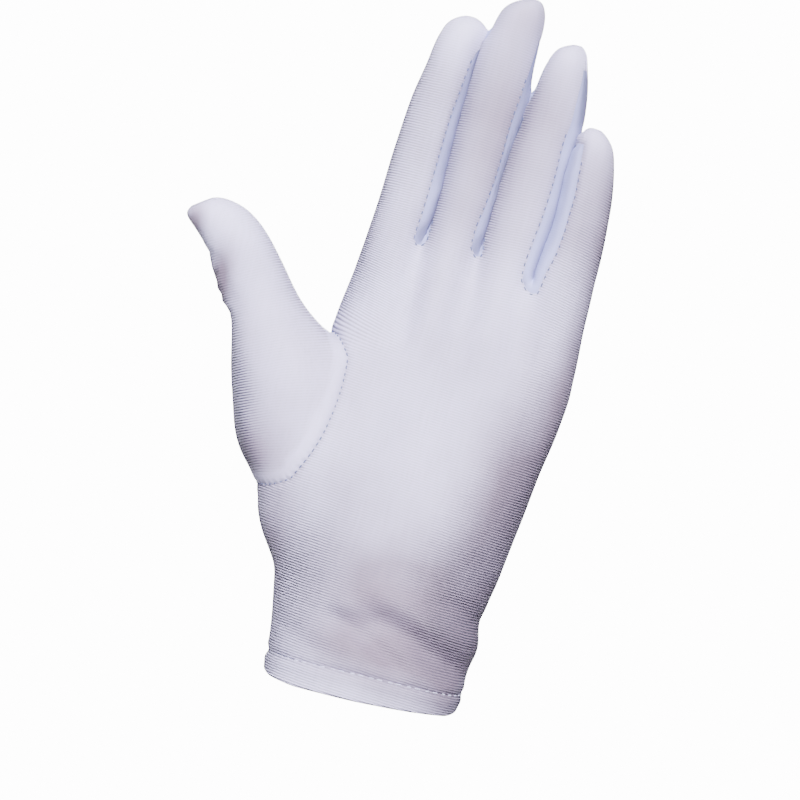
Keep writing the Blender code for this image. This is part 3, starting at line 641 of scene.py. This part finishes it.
def subdivide(points, faces, label, levels):
    """Catmull-Clark on the whole cage, so that the seams lie in one smooth surface."""
    mesh = bpy.data.meshes.new("cage")
    mesh.from_pydata((points * MM).tolist(), [], faces)
    for _ in LABELS:
        mesh.materials.append(None)
    mesh.polygons.foreach_set("material_index", np.asarray(label, np.int32))
    cage = link("cage", mesh)
    modifier = cage.modifiers.new("smooth", "SUBSURF")
    modifier.levels = modifier.render_levels = levels
    bpy.context.view_layer.update()
    fine, quads, fine_label = evaluated_arrays(cage)
    bpy.data.objects.remove(cage)
    bpy.data.meshes.remove(mesh)
    return fine / MM, quads, fine_label


def quad_normals(points, quads):
    corner = points[quads]
    area = np.cross(corner[:, 2] - corner[:, 0], corner[:, 3] - corner[:, 1])
    total = np.zeros_like(points)
    for k in range(4):
        np.add.at(total, quads[:, k], area)
    return unit(total)


def joined(a, b):
    """Whether cloth goes on between faces with these two labels."""
    closing = ((a == PALM_SIDE) & (b == BACK_SIDE)) | ((a == BACK_SIDE) & (b == PALM_SIDE))
    return (PIECE_OF[a] == PIECE_OF[b]) & ~closing


def edge_table(quads):
    """Each edge once, with the faces on its two sides."""
    ends = np.concatenate([quads[:, [k, (k + 1) % 4]] for k in range(4)])
    owner = np.tile(np.arange(len(quads)), 4)
    key = np.sort(ends, axis=1)
    key = key[:, 0].astype(np.int64) * (1 << 32) + key[:, 1]
    order = np.argsort(key, kind="stable")
    key, owner, ends = key[order], owner[order], ends[order]
    same = np.nonzero(key[1:] == key[:-1])[0]
    return ends[same], owner[same], owner[same + 1]


def chains(pairs):
    """Edges joined end to end into runs that stop where three or more meet."""
    near = {}
    for a, b in pairs:
        near.setdefault(int(a), []).append(int(b))
        near.setdefault(int(b), []).append(int(a))
    seen, runs = set(), []
    ends = [v for v, n in near.items() if len(n) != 2]
    for start in ends + list(near):
        for step in near[start]:
            if (min(start, step), max(start, step)) in seen:
                continue
            run = [start, step]
            seen.add((min(start, step), max(start, step)))
            while len(near[run[-1]]) == 2:
                a, b = near[run[-1]]
                onward = b if a == run[-2] else a
                edge = (min(run[-1], onward), max(run[-1], onward))
                if edge in seen:
                    break
                seen.add(edge)
                run.append(onward)
            runs.append(run)
    return runs


def seam_kind(a, b):
    pieces = {LABELS[a][0], LABELS[b][0]}
    if "cuff_hem" in pieces:
        return "hem"
    if "thumb" in pieces:
        return "thumb"
    return "closing" if pieces == {"trank"} else "finger"


class Seams:
    """Every seam of the glove as a run of points, and how far a point is from the nearest."""

    def __init__(self, points, quads, label):
        ends, one, two = edge_table(quads)
        cut = ~joined(label[one], label[two])
        kinds = {}
        for pair, a, b in zip(ends[cut], label[one[cut]], label[two[cut]]):
            kinds.setdefault(seam_kind(a, b), []).append(pair)
        self.runs = [(kind, self.turned(points, run))
                     for kind in sorted(kinds) for run in chains(kinds[kind])]
        places, along_run, from_end, kind_of = [], [], [], []
        for kind, run in self.runs:
            path = points[run]
            lengths = run_lengths(path)
            dense = np.arange(0, lengths[-1], SEAM_STEP)
            places.append(at_length(dense, lengths, path))
            along_run.append(dense)
            from_end.append(np.minimum(dense, lengths[-1] - dense))
            kind_of += [kind] * len(dense)
        self.along, self.from_end = np.concatenate(along_run), np.concatenate(from_end)
        self.kind = np.array(kind_of)
        self.tree = tree_of(np.concatenate(places))

    @staticmethod
    def turned(points, run):
        """A closed run begins on the back of the glove."""
        if run[0] != run[-1]:
            return run
        n = int(np.argmax(points[run[:-1], 1]))
        return run[n:-1] + run[:n + 1]

    def measure(self, points):
        """Of the nearest seam: distance, place along it, distance from its ends and kind."""
        count = len(points)
        away, at, end = np.full(count, SEAM_REACH), np.zeros(count), np.zeros(count)
        kind = np.full(count, "", dtype=object)
        for i, p in enumerate(points):
            _, n, d = self.tree.find(p)
            if d < SEAM_REACH:
                away[i], at[i], end[i], kind[i] = d, self.along[n], self.from_end[n], self.kind[n]
        return away, at, end, kind


def line_distance(points, x0, z0, x1, z1):
    """Share along a line from x0, z0 to x1, z1, and how far above it."""
    start, run = np.array([x0, z0]), np.array([x1 - x0, z1 - z0])
    rel = points[:, [0, 2]] - start
    across = (rel[:, 0] * run[1] - rel[:, 1] * run[0]) / np.linalg.norm(run)
    return (rel @ run) / (run @ run), -across


def wrinkle(points, normals):
    """How far each point of the fine cloth moves out along its normal."""
    out = np.zeros(len(points))
    facing = smooth_step(0.5 - normals[:, 1])
    for x0, z0, x1, z1, width, depth, ridge in FINE_FOLDS:
        t, above = line_distance(points, x0, z0, x1, z1)
        fade = smooth_step(t * 3.5 + 0.3) * smooth_step((1.02 - t) * 4) * facing
        above = above - 0.6 * np.sin(t * 5.1)
        out -= depth * fade * np.exp(-(above / width) ** 2)
        out += ridge * fade * np.exp(-((above - 1.9 * width) / (1.1 * width)) ** 2)
        out += 0.5 * ridge * fade * np.exp(-((above + 2.1 * width) / (1.3 * width)) ** 2)
    for x, z in THUMB_WRINKLES:
        rel = points[:, [0, 2]] - np.array([x, z])
        inward, up = rel @ WRINKLE_RUN, rel @ WRINKLE_RISE
        out += 0.95 * np.exp(-(up / 1.0) ** 2 - (inward / 3.4) ** 2)
        out -= 0.60 * np.exp(-((up - 1.8) / 0.8) ** 2 - (inward / 4.6) ** 2)
    for i, p in enumerate(points):
        out[i] += sum(amount * noise.noise(Vector(p) * (1 / wave)) for wave, amount in UNEVEN)
    return out


def rib_fields(points, normals, piece, away):
    """Rib phase in millimetres, rib strength and the amount of painted shade, darker and warmer, at
    each point.
    """
    x, z = points[:, 0], points[:, 2]
    ends = [np.exp(-((x - px) ** 2 + (z - pz) ** 2) / radius ** 2)
            for px, pz, radius in SMOOTH_ENDS]
    side = 1 - np.abs(normals[:, 1])
    # Ribs get deeper bumps and more painted shade between them where the cloth turns to the side and
    # light grazes it
    edge = smooth_step(side * 1.25)
    if piece == "thumb":
        phase = THUMB_RIBS * (z - interp(THUMB_RISE, x, 1))
        outer = smooth_step((-x - 44) / 16) * smooth_step((106 - z) / 26)
        strength = 0.10 + 0.55 * edge + 0.50 * outer * smooth_step(side * 3.2)
        strength *= 1 - 0.85 * smooth_step((5.4 - away) / 1.6)
    else:
        finger = smooth_step((z - 108) / 26)
        rise = finger * interp(FINGER_RISE, x, 1) - (1 - finger) * 0.035 * x
        root = smooth_step((150 - z) / 22) * smooth_step((z - 100) / 14)
        root = root * np.clip(-15 - x, 0, 40) * 0.19
        phase = z - rise - root
        strength = 0.30 + 0.50 * edge + bump(RIB_PATCHES, x, z)
    # Painted shade: a little everywhere, more on the palm side where the shade table puts it
    painted_shade = 0.12 + smooth_step(0.5 - normals[:, 1]) * bump(PAINTED_SHADE, x, z)
    # Fainter ribs and less painted shade at the finger and thumb ends
    for end in ends:
        strength = strength * (1 - 0.85 * end)
        painted_shade = painted_shade - 0.25 * end
    if piece == "thumb":
        # A painted highlight: less shade along the thumb's seam
        painted_shade = painted_shade - 0.25 * smooth_step((5.2 - away) / 1.2)
    elif piece.startswith("fourchette"):
        strength = strength * 0.15
        # Painted shade on the strips' side that faces +X, and in the bottoms of the notches
        painted_shade = painted_shade * 0.4 + 0.95 * smooth_step((normals[:, 0] - 0.30) / 0.65)
        for nx, nz in NOTCHES:
            painted_shade = painted_shade + 0.9 * np.exp(-((x - nx) / 1.6) ** 2 - ((z - nz - 1.5) / 2.6) ** 2)
    return phase, np.clip(strength, 0, 1), np.clip(painted_shade, 0, 1)


def split(points, normals, quads, label, number):
    """Outer cloth of one piece with its own corners, one per fan of joined faces."""
    mine = np.nonzero(PIECE_OF[label] == number)[0]
    faces, tag = quads[mine], label[mine]
    ends, one, two = edge_table(faces)
    whole = joined(tag[one], tag[two])
    corner = np.arange(len(faces) * 4).reshape(-1, 4)
    parent = np.arange(len(faces) * 4)

    def root(a):
        while parent[a] != a:
            parent[a] = parent[parent[a]]
            a = parent[a]
        return a

    for (u, v), a, b in zip(ends[whole], one[whole], two[whole]):
        for w in (u, v):
            i = corner[a][np.nonzero(faces[a] == w)[0][0]]
            j = corner[b][np.nonzero(faces[b] == w)[0][0]]
            i, j = root(i), root(j)
            if i != j:
                parent[i] = j
    roots = np.array([root(c) for c in range(len(parent))])
    kept, index = np.unique(roots, return_inverse=True)
    source = faces.reshape(-1)[kept]
    shell = index.reshape(-1, 4)
    directed = np.concatenate([shell[:, [k, (k + 1) % 4]] for k in range(4)])
    keys = directed[:, 0].astype(np.int64) * (1 << 32) + directed[:, 1]
    back = directed[:, 1].astype(np.int64) * (1 << 32) + directed[:, 0]
    border = directed[~np.isin(keys, back)]
    return points[source], normals[source], shell, border.tolist()


def smooth_object(name, verts, faces, material):
    mesh = bpy.data.meshes.new(name)
    mesh.from_pydata((np.asarray(verts) * MM).tolist(), [], faces)
    mesh.update()
    mesh.shade_smooth()
    mesh.materials.append(material)
    return link(name, mesh)


def cloth_object(name, verts, faces, border, fields, material):
    """One piece of cloth, sharp along its border, with its fields for the shader."""
    obj = smooth_object(name, verts, faces, material)
    sharp = {(min(edge), max(edge)) for edge in border}
    for edge in obj.data.edges:
        edge.use_edge_sharp = (min(edge.vertices), max(edge.vertices)) in sharp
    for key, values in fields.items():
        attribute = obj.data.attributes.new(key, "FLOAT_VECTOR", "POINT")
        attribute.data.foreach_set("vector", np.asarray(values, np.float32).reshape(-1))
    return obj


# Shader helpers
WALE_SCALE = (1100.0, 1100.0, 90.0)
# Along a seam: how soon groove and puckers fade, how deep they are and the puckers' pitch
GROOVE_FADE, PUCKER_FADE = -1.4, -0.55
GROOVE_DEPTH, PUCKER_DEPTH, PUCKER_PITCH = 0.12, 0.22, 2.6
GRAIN_DEPTH = 0.04
FINISH = {"Roughness": 0.6, "Specular IOR Level": 0.3, "Sheen Weight": 0.06,
          "Sheen Roughness": 0.4, "Sheen Tint": (0.80, 0.83, 1.0, 1)}
# Colours: plain cloth; painted shade, darker and warmer; painted shade between the ribs; then the ribs'
# depth
KNIT = ((0.70, 0.665, 0.98), (0.240, 0.185, 0.265), (0.045, 0.042, 0.066), 0.27)
# The strips' colours are darker and bluer as painted shade, for strips that lie in shade between the
# fingers
STRIP_KNIT_IN_SHADE = ((0.42, 0.44, 0.80), (0.19, 0.195, 0.36), (0.08, 0.08, 0.20), 0.06)


class Value:
    """A shader socket that adds Math nodes when it is used in an expression."""

    def __init__(self, maker, socket):
        self.maker, self.socket = maker, socket

    def op(self, name, *others):
        return self.maker.add("ShaderNodeMath", {"operation": name}, [self, *others])

    def __add__(self, other):
        return self.op("ADD", other)

    def __mul__(self, other):
        return self.op("MULTIPLY", other)

    def __sub__(self, other):
        return self.op("SUBTRACT", other)

    def __rsub__(self, other):
        return self.maker.add("ShaderNodeMath", {"operation": "SUBTRACT"}, [other, self])

    def __pow__(self, other):
        return self.op("POWER", other)


class Cloth:
    """One material and the method that adds its nodes."""

    def __init__(self, name):
        self.material = bpy.data.materials.new(name)
        self.material.use_nodes = True
        self.tree = self.material.node_tree
        self.shader = self.tree.nodes["Principled BSDF"]

    def add(self, kind, settings=None, inputs=None, output=0):
        node = self.tree.nodes.new(kind)
        for key, value in (settings or {}).items():
            setattr(node, key, value)
        pairs = inputs.items() if isinstance(inputs, dict) else enumerate(inputs or [])
        for key, value in pairs:
            if isinstance(value, Value):
                self.tree.links.new(value.socket, node.inputs[key])
            else:
                node.inputs[key].default_value = value
        return Value(self, node.outputs[output])

    def parts(self, attribute):
        """The three numbers of a vector attribute."""
        vector = self.add("ShaderNodeAttribute", {"attribute_name": attribute}, output="Vector")
        node = self.add("ShaderNodeSeparateXYZ", None, [vector]).socket.node
        return [Value(self, node.outputs[k]) for k in range(3)]

    def noise(self, scale, detail=1.0):
        place = self.add("ShaderNodeTexCoord", output="Object")
        inputs = {"Vector": place, "Scale": scale, "Detail": detail}
        return self.add("ShaderNodeTexNoise", None, inputs)

    def wales(self):
        """Fine upright columns of the knit."""
        place = self.add("ShaderNodeTexCoord", output="Object")
        long = self.add("ShaderNodeMapping", None, {"Vector": place, "Scale": WALE_SCALE})
        return self.add("ShaderNodeTexNoise", None, {"Vector": long, "Scale": 1.0, "Detail": 1.0})

    def mix(self, factor, a, b):
        a, b = (c if isinstance(c, Value) else (*c, 1) for c in (a, b))
        return self.add("ShaderNodeMix", {"data_type": "RGBA"}, {0: factor, 6: a, 7: b}, 2)

    def set(self, key, value):
        if isinstance(value, Value):
            self.tree.links.new(value.socket, self.shader.inputs[key])
        else:
            self.shader.inputs[key].default_value = value


def knit_material(name, cool, painted_shade, hollow, rib_depth):
    """Ribbed nylon: fine ribs across, smoother where stretched, puckered along the seams; painted shade
    between the ribs, in the seam grooves and where the shade field is high.
    """
    cloth = Cloth(name)
    phase, strength, shade_amount = cloth.parts("weave_and_shade")
    away, along_seam, pucker = cloth.parts("seam")
    drift, grain, blotch = cloth.noise(70.0, 2.0), cloth.noise(1400.0), cloth.noise(32.0, 2.0)
    wave = ((phase + drift * 0.5) * (2 * math.pi / RIB_PITCH)).op("SINE") * 0.5 + 0.5
    near = (away * away * GROOVE_FADE).op("EXPONENT")
    wide = (away * away * PUCKER_FADE).op("EXPONENT")
    ripple = (along_seam * (2 * math.pi / PUCKER_PITCH) + drift * 3.0).op("SINE")
    patchy = strength * (blotch * 0.5 + 0.75)
    dip = ripple * wide * pucker * PUCKER_DEPTH - near * GROOVE_DEPTH
    height = wave * patchy * rib_depth + grain * GRAIN_DEPTH + dip
    relief = cloth.add("ShaderNodeBump", None, {"Strength": 1.0, "Distance": MM, "Height": height})
    # Painted shade darkens and warms the plain cloth; random blotches vary its tone
    plain = cloth.mix(shade_amount + (blotch - 0.5) * 0.8, cool, painted_shade)
    columns = (cloth.wales() - 0.5) * 0.25
    # Painted shade between the ribs
    shade = (1 - wave) ** 1.5 * (patchy + columns) + columns * 0.25
    # Painted shade in the seam grooves, deeper where the seam puckers
    cloth.set("Base Color", cloth.mix(shade + near * (pucker * 0.35 + 0.05), plain, hollow))
    cloth.set("Normal", relief)
    for key, value in FINISH.items():
        cloth.set(key, value)
    return cloth.material


def thread_material(name, color):
    cloth = Cloth(name)
    dark = tuple(c * 0.7 for c in color)
    cloth.set("Base Color", cloth.mix(cloth.noise(2200.0) * 0.6, color, dark))
    cloth.set("Roughness", 0.6)
    return cloth.material


# Stitches: pitch, length, radius, how far from the seam; all on the cloth of one piece
STITCH = {
    "finger": (2.6, 1.6, 0.23, 0.42, "trank"),
    "thumb": (2.15, 1.35, 0.25, 0.10, "thumb"),
    "hem": (3.0, 2.1, 0.24, 0.15, "cuff_hem"),
}
TIP_MARGIN = {"index": 13, "middle": 25, "ring": 26, "little": 11}
SHORTEST_SEAM = 12
# How far the stitches stray from an even pitch and length
PITCH_DRIFT, LENGTH_DRIFT = 0.22, 0.18


def seam_lean(points, quads, label, piece):
    """For each point, the direction from it into the cloth of the named piece."""
    mine = quads[PIECE_OF[label] == PIECES.index(piece)]
    centre = points[mine].mean(axis=1)
    lean, count = np.zeros_like(points), np.zeros(len(points))
    for k in range(4):
        np.add.at(lean, mine[:, k], centre)
        np.add.at(count, mine[:, k], 1)
    return unit(lean / np.maximum(count, 1)[:, None] - points)


def stitched(kind, place):
    """Stitches show on the seams of the strips up to near the finger ends."""
    if kind != "finger":
        return True
    edges = [interp(FINGERS[name], place[2], 1) for name in NAMES]
    name = NAMES[int(np.argmin([abs(place[0] - (edge + 9)) for edge in edges]))]
    return place[2] < FINGER_BODY[name][0] - TIP_MARGIN[name]


def capsule(verts, quads, spots, normal, side, radius):
    """One thread: rings round the given spots, thin at both ends."""
    around, base = 6, len(verts)
    for r, (spot, fat) in enumerate(spots):
        for k in range(around):
            a = 2 * math.pi * k / around
            verts.append(spot + (normal * math.sin(a) + side * math.cos(a)) * fat * radius)
    for r in range(len(spots) - 1):
        for k in range(around):
            a, c = base + r * around + k, base + r * around + (k + 1) % around
            quads.append((a, c, c + around, a + around))
    quads.append(tuple(base + k for k in range(around))[::-1])
    quads.append(tuple(base + (len(spots) - 1) * around + k for k in range(around)))


def stitches(seams, cloth, kinds, name, material):
    """Short threads that dip in and out of the cloth along the seams."""
    points, normals, faces, label = cloth
    verts, quads = [], []
    for kind, run in seams.runs:
        if kind not in kinds:
            continue
        pitch, length, radius, offset, piece = STITCH[kind]
        path = points[run] + seam_lean(points, faces, label, piece)[run] * offset
        up, lengths = normals[run], run_lengths(path)
        if lengths[-1] < SHORTEST_SEAM:
            continue
        for centre in np.arange(pitch * 0.6, lengths[-1] - pitch * 0.4, pitch):
            centre += PITCH_DRIFT * math.sin(centre * 7.3)
            if not stitched(kind, at_length(centre, lengths, path)):
                continue
            size = length * (1 + LENGTH_DRIFT * math.sin(centre * 3.1))
            spots = []
            for share in (-1, -0.55, 0, 0.55, 1):
                at = centre + share * size / 2
                lift = at_length(at, lengths, up) * (0.08 - 0.26 * share ** 2)
                fat = math.sqrt(max(1 - share ** 4, 0.05))
                spots.append((at_length(at, lengths, path) + lift, fat))
            t = spots[-1][0] - spots[0][0]
            t /= max(np.linalg.norm(t), 1e-6)
            side = np.cross(t, at_length(centre, lengths, up))
            side /= max(np.linalg.norm(side), 1e-6)
            capsule(verts, quads, spots, np.cross(side, t), side, radius)
    obj = smooth_object(name, verts, quads, material)
    fix_outward(obj)
    return obj


def fix_outward(obj):
    bpy.ops.object.select_all(action="DESELECT")
    bpy.context.view_layer.objects.active = obj
    obj.select_set(True)
    bpy.ops.object.mode_set(mode="EDIT")
    bpy.ops.mesh.select_all(action="SELECT")
    bpy.ops.mesh.normals_make_consistent(inside=False)
    bpy.ops.object.mode_set(mode="OBJECT")
    obj.select_set(False)


def fields_for(piece, points, normals, seams):
    """What the shader reads at each point: the ribs, the painted shade and the nearest seam."""
    away, at, end, kind = seams.measure(points)
    away = np.where((kind == "closing") & (points[:, 2] > 175), SEAM_REACH, away)
    pucker = by_kind(kind, PUCKER, 0.08) * smooth_step((end - 1) / 5)
    weave_and_shade = np.stack(rib_fields(points, normals, piece, away), 1)
    return {"weave_and_shade": weave_and_shade, "seam": np.stack([away, at, pucker], 1)}


def lower_loop(points, border):
    """The vertices of the lower one of a band's two edges."""
    onward = dict(border)
    loops = []
    while onward:
        v, loop = next(iter(onward)), set()
        while v in onward:
            loop.add(v)
            v = onward.pop(v)
        loops.append(loop)
    return min(loops, key=lambda loop: np.mean([points[v][2] for v in loop]))


def spread(values, quads):
    """Each point's value averaged with its neighbours'."""
    total, count = values.copy(), np.ones(len(values))
    for k in range(4):
        np.add.at(total, quads[:, k], values[quads[:, (k + 1) % 4]])
        np.add.at(count, quads[:, k], 1)
    return total / count


def close_gaps(points, normals, quads, label):
    """Fills the facing strips out near the notches, so that no light shows between them."""
    strip = np.zeros(len(points), bool)
    strip[np.unique(quads[np.isin(label, STRIP_LABELS)])] = True
    swell = np.zeros(len(points))
    for x, z in NOTCHES:
        rel_x, rel_z = points[:, 0] - x, points[:, 2] - z
        swell += np.exp(-(rel_x / 8) ** 2 - ((rel_z - 6) / 11) ** 2)
    swell = np.where(strip, np.clip(swell, 0, 1) * SWELL, 0)
    for _ in range(2):
        swell = np.where(strip, spread(swell, quads), 0)
    return points + normals * swell[:, None]


def evened(normals, quads, times=4):
    """Normals averaged with their neighbours, so that a fine edge never turns the cloth over."""
    for _ in range(times):
        total = normals.copy()
        for k in range(4):
            for step in (1, 3):
                np.add.at(total, quads[:, k], normals[quads[:, (k + step) % 4]])
        normals = unit(total)
    return normals


def press_together(points, normals, quads):
    """Neighbouring fingers touch: each side goes half way to the one that faces it."""
    tree = tree_of(points)
    push = np.zeros(len(points))
    z, x_turn = points[:, 2], np.abs(normals[:, 0])
    for i in np.nonzero((z > PRESS_FROM) & (z < PRESS_TO) & (x_turn > TURNED))[0]:
        here, out = points[i], normals[i]
        nearest = 1.0
        for place, j, _ in tree.find_range(here + out * 0.3, 2.0):
            step = np.array(place) - here
            ahead = float(step @ out)
            aside = float(np.linalg.norm(step - out * ahead))
            facing = float(normals[j] @ out) < TURNED_BACK
            if aside < nearest and ahead < MOST_AHEAD and facing:
                nearest, push[i] = aside, 0.5 * ahead + 0.01
    push = np.clip(push, -MOST_PUSH, MOST_PUSH)
    for _ in range(2):
        push = 0.5 * push + 0.5 * spread(push, quads)
    return points + normals * push[:, None]


def hem_profile(outer, normal, shell, border):
    """Turned hem: the band, its rounded lower edge and the turned-up inside."""
    total = len(outer)
    low = lower_loop(outer, border)
    inner = outer - normal * HEM_CLOTH
    quads = [*shell.tolist(), *(shell[:, ::-1] + total).tolist()]
    turn, extra = {}, []
    for a, b in border:
        if a not in low or b not in low:
            quads.append([b, a, a + total, b + total])
            continue
        for v in (a, b):
            if v in turn:
                continue
            turn[v] = []
            for angle in np.radians((30, 60, 90, 120, 150)):
                c, s = math.cos(angle), math.sin(angle)
                turn[v].append(2 * total + len(extra))
                extra.append((outer[v] + inner[v]) / 2 + normal[v] * (HEM_CLOTH / 2) * c
                             + np.array([0, 0, -HEM_TURN * s]))
        left, right = [a, *turn[a], a + total], [b, *turn[b], b + total]
        quads += [[right[i], left[i], left[i + 1], right[i + 1]] for i in range(len(left) - 1)]
    return np.concatenate([outer, inner, np.array(extra)]), quads


def single_cloth(outer, normal, shell, border):
    """Cloth of one thickness, closed along its border."""
    total = len(outer)
    faces = [*shell.tolist(), *(shell[:, ::-1] + total).tolist()]
    faces += [[b, a, a + total, b + total] for a, b in border]
    return np.concatenate([outer, outer - normal * CLOTH]), faces


def draw_in_seams(points, normals, seams):
    """A groove along each seam, with the cloth standing up a little beside it."""
    away, _, _, kind = seams.measure(points)
    groove = by_kind(kind, GROOVE, 0.22 * smooth_step((165 - points[:, 2]) / 12))
    groove = groove * (1 - 0.8 * smooth_step((points[:, 2] - 180) / 8))
    settle = groove * (np.exp(-(away / 1.0) ** 2) - 0.35 * np.exp(-((away - 2.3) / 1.2) ** 2))
    return points - normals * settle[:, None]


def shape_cloth():
    """The glove's whole outer surface and its seams, with the fingers touching."""
    cage = build_cage()
    points, faces = cage.weld()
    label = [LABELS.index(pair) for pair in zip(cage.piece, cage.side)]
    near = np.zeros(len(points))
    for x, z in NOTCHES:
        near += np.exp(-((points[:, 0] - x) / NOTCH_REACH) ** 2
                       - ((points[:, 2] - z + 6) / NOTCH_REACH) ** 2)
    away = np.min(np.linalg.norm(points[:, None, [0, 2]] - ARC_FRONT[None], axis=2), axis=1)
    near += np.exp(-(away / ARC_REACH) ** 2)
    points = relax(points, faces, np.clip(near, 0, 1) * EASE, EASE_STEPS)
    # Subdivision shrinks the cage, so it is first moved out by what it would lose
    target = points
    for _ in range(2):
        fine = subdivide(points, faces, label, 1)[0]
        points = points + (target - fine[:len(points)])
    points, quads, label = subdivide(points, faces, label, LEVELS)
    normals = quad_normals(points, quads)
    points = points + normals * wrinkle(points, normals)[:, None]
    normals = quad_normals(points, quads)
    seams = Seams(points, quads, label)
    normals = evened(normals, quads)
    points = draw_in_seams(points, normals, seams)
    points = close_gaps(points, normals, quads, label)
    for _ in range(2):
        points = press_together(points, normals, quads)
        normals = evened(quad_normals(points, quads), quads)
    return (points, normals, quads, label), seams


def dress():
    """Replaces each solid with its cloth and adds the stitches."""
    cloth, seams = shape_cloth()
    knit, strip = knit_material("ribbed_nylon", *KNIT), knit_material("smooth_nylon_in_shade", *STRIP_KNIT_IN_SHADE)
    slots = {"trank": (knit, "rib_knit"), "thumb": (knit, "rib_knit"), "cuff_hem": (knit, "hem")}
    for number, piece in enumerate(PIECES):
        outer, normal, shell, border = split(*cloth, number)
        material, slot = slots.get(piece, (strip, "side_strip"))
        if piece == "cuff_hem":
            share = np.clip((outer[:, 2] + 2) / 8.0, 0, 1)
            bulge = HEM_BULGE * np.sin(np.pi * np.clip(share * 0.9 + 0.1, 0, 1))
            outer = outer + normal * bulge[:, None]
            verts, faces = hem_profile(outer, normal, shell, border)
        else:
            verts, faces = single_cloth(outer, normal, shell, border)
        edge_normals = np.tile([0, 0, -1.0], (len(verts) - 2 * len(outer), 1))
        fields = fields_for(piece, verts, np.concatenate([normal, normal, edge_normals]), seams)
        obj = cloth_object(piece + "_cloth", verts, faces, border, fields, material)
        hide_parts(piece)
        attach(obj, "root")
    # The finger and thumb stitches are dark blue as painted shade in the stitch pits; the hem's
    # stitches keep a pale thread colour
    for kinds, name, color in ((("finger", "thumb"), "seam_stitches_painted_shade", (0.11, 0.13, 0.28)),
                               (("hem",), "hem_stitches", (0.58, 0.56, 0.80))):
        obj = stitches(seams, cloth, kinds, name, thread_material(name, color))
        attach(obj, "root")


# Studio
ROLL = math.radians(16)
VIEW = (-0.0134, 0.0897)
DISTANCE = 1.2
PIXEL, PICTURE = 0.00031, 800
SENSOR = 36
FLOOR_Z, FLOOR_RADIUS = -0.45, 2.0
KEY_SPOT, KEY_AIM = (-0.12, -1.20, 0.85), (-0.032, 0, 0.122)
KEY_WIDTH, KEY_POWER, KEY_COLOR = 0.30, 1160.0, (0.98, 0.955, 1.0)
# Other lamps: place, width, power, colour
LAMP_AIM = (-0.01, 0.0, 0.1)
LAMPS = {
    "fill": ((0.25, -1.5, 0.10), 0.6, 4.0, (0.90, 0.92, 1.0)),
    "back": ((-0.05, 1.6, 0.5), 0.7, 70.0, (1.0, 0.99, 1.0)),
}
SKY, SKY_COLOR = 0.10, (0.74, 0.78, 1.0)
BACKDROP = 14.0


def stage_floor():
    bpy.ops.object.select_all(action="DESELECT")
    bpy.ops.mesh.primitive_circle_add(
        vertices=96, radius=FLOOR_RADIUS, fill_type="NGON", location=(0, 0, FLOOR_Z))
    floor = bpy.context.active_object
    floor.name = "floor"
    pale = Cloth("pale_floor")
    pale.set("Base Color", (0.80, 0.80, 0.82, 1))
    seen = pale.add("ShaderNodeLightPath", output="Is Camera Ray")
    pale.set("Emission Color", pale.mix(seen, (0, 0, 0), (0.93, 0.93, 0.95)))
    pale.set("Emission Strength", 1.2)
    pale.set("Roughness", 0.9)
    floor.data.materials.append(pale.material)


def sky():
    world = bpy.context.scene.world or bpy.data.worlds.new("studio")
    bpy.context.scene.world = world
    world.use_nodes = True
    tree = world.node_tree
    tree.nodes.clear()
    kinds = ("OutputWorld", "LightPath", "MixShader")
    out, path, mix = (tree.nodes.new("ShaderNode" + kind) for kind in kinds)
    tree.links.new(path.outputs["Is Camera Ray"], mix.inputs[0])
    for slot, color, strength in ((1, SKY_COLOR, SKY), (2, (1, 1, 1), BACKDROP)):
        light = tree.nodes.new("ShaderNodeBackground")
        light.inputs["Color"].default_value = (*color, 1)
        light.inputs["Strength"].default_value = strength
        tree.links.new(light.outputs[0], mix.inputs[slot])
    tree.links.new(mix.outputs[0], out.inputs[0])


def place_lamp(name, data, spot, aim):
    lamp = link(name, data)
    lamp.location = spot
    lamp.rotation_euler = (Vector(spot) - Vector(aim)).to_track_quat("Z", "Y").to_euler()


def lamps():
    """A soft spot on the upper palm, which falls off towards the wrist, and two wide lamps."""
    data = bpy.data.lights.new("key", "SPOT")
    data.energy, data.color = KEY_POWER, KEY_COLOR
    data.spot_size = 2 * math.atan(KEY_WIDTH / 2 / (Vector(KEY_SPOT) - Vector(KEY_AIM)).length)
    data.spot_blend, data.shadow_soft_size = 1.0, 0.20
    place_lamp("key", data, KEY_SPOT, KEY_AIM)
    for name, (spot, size, power, color) in LAMPS.items():
        data = bpy.data.lights.new(name, "AREA")
        data.shape, data.size, data.energy, data.color = "DISK", size, power, color
        place_lamp(name, data, spot, LAMP_AIM)


def set_camera():
    data = bpy.data.cameras.new("camera")
    data.sensor_width = SENSOR
    data.lens = DISTANCE / PIXEL / PICTURE * SENSOR
    data.clip_end = 20
    camera = link("camera", data)
    right = Vector((math.cos(ROLL), 0, math.sin(ROLL)))
    up = Vector((-math.sin(ROLL), 0, math.cos(ROLL)))
    back = Vector((0, -1, 0))
    axes = Matrix((right, up, back)).transposed().to_4x4()
    camera.matrix_world = Matrix.Translation((VIEW[0], -DISTANCE, VIEW[1])) @ axes
    bpy.context.scene.camera = camera


set_camera()
dress()
stage_floor()
sky()
lamps()
bpy.context.view_layer.update()
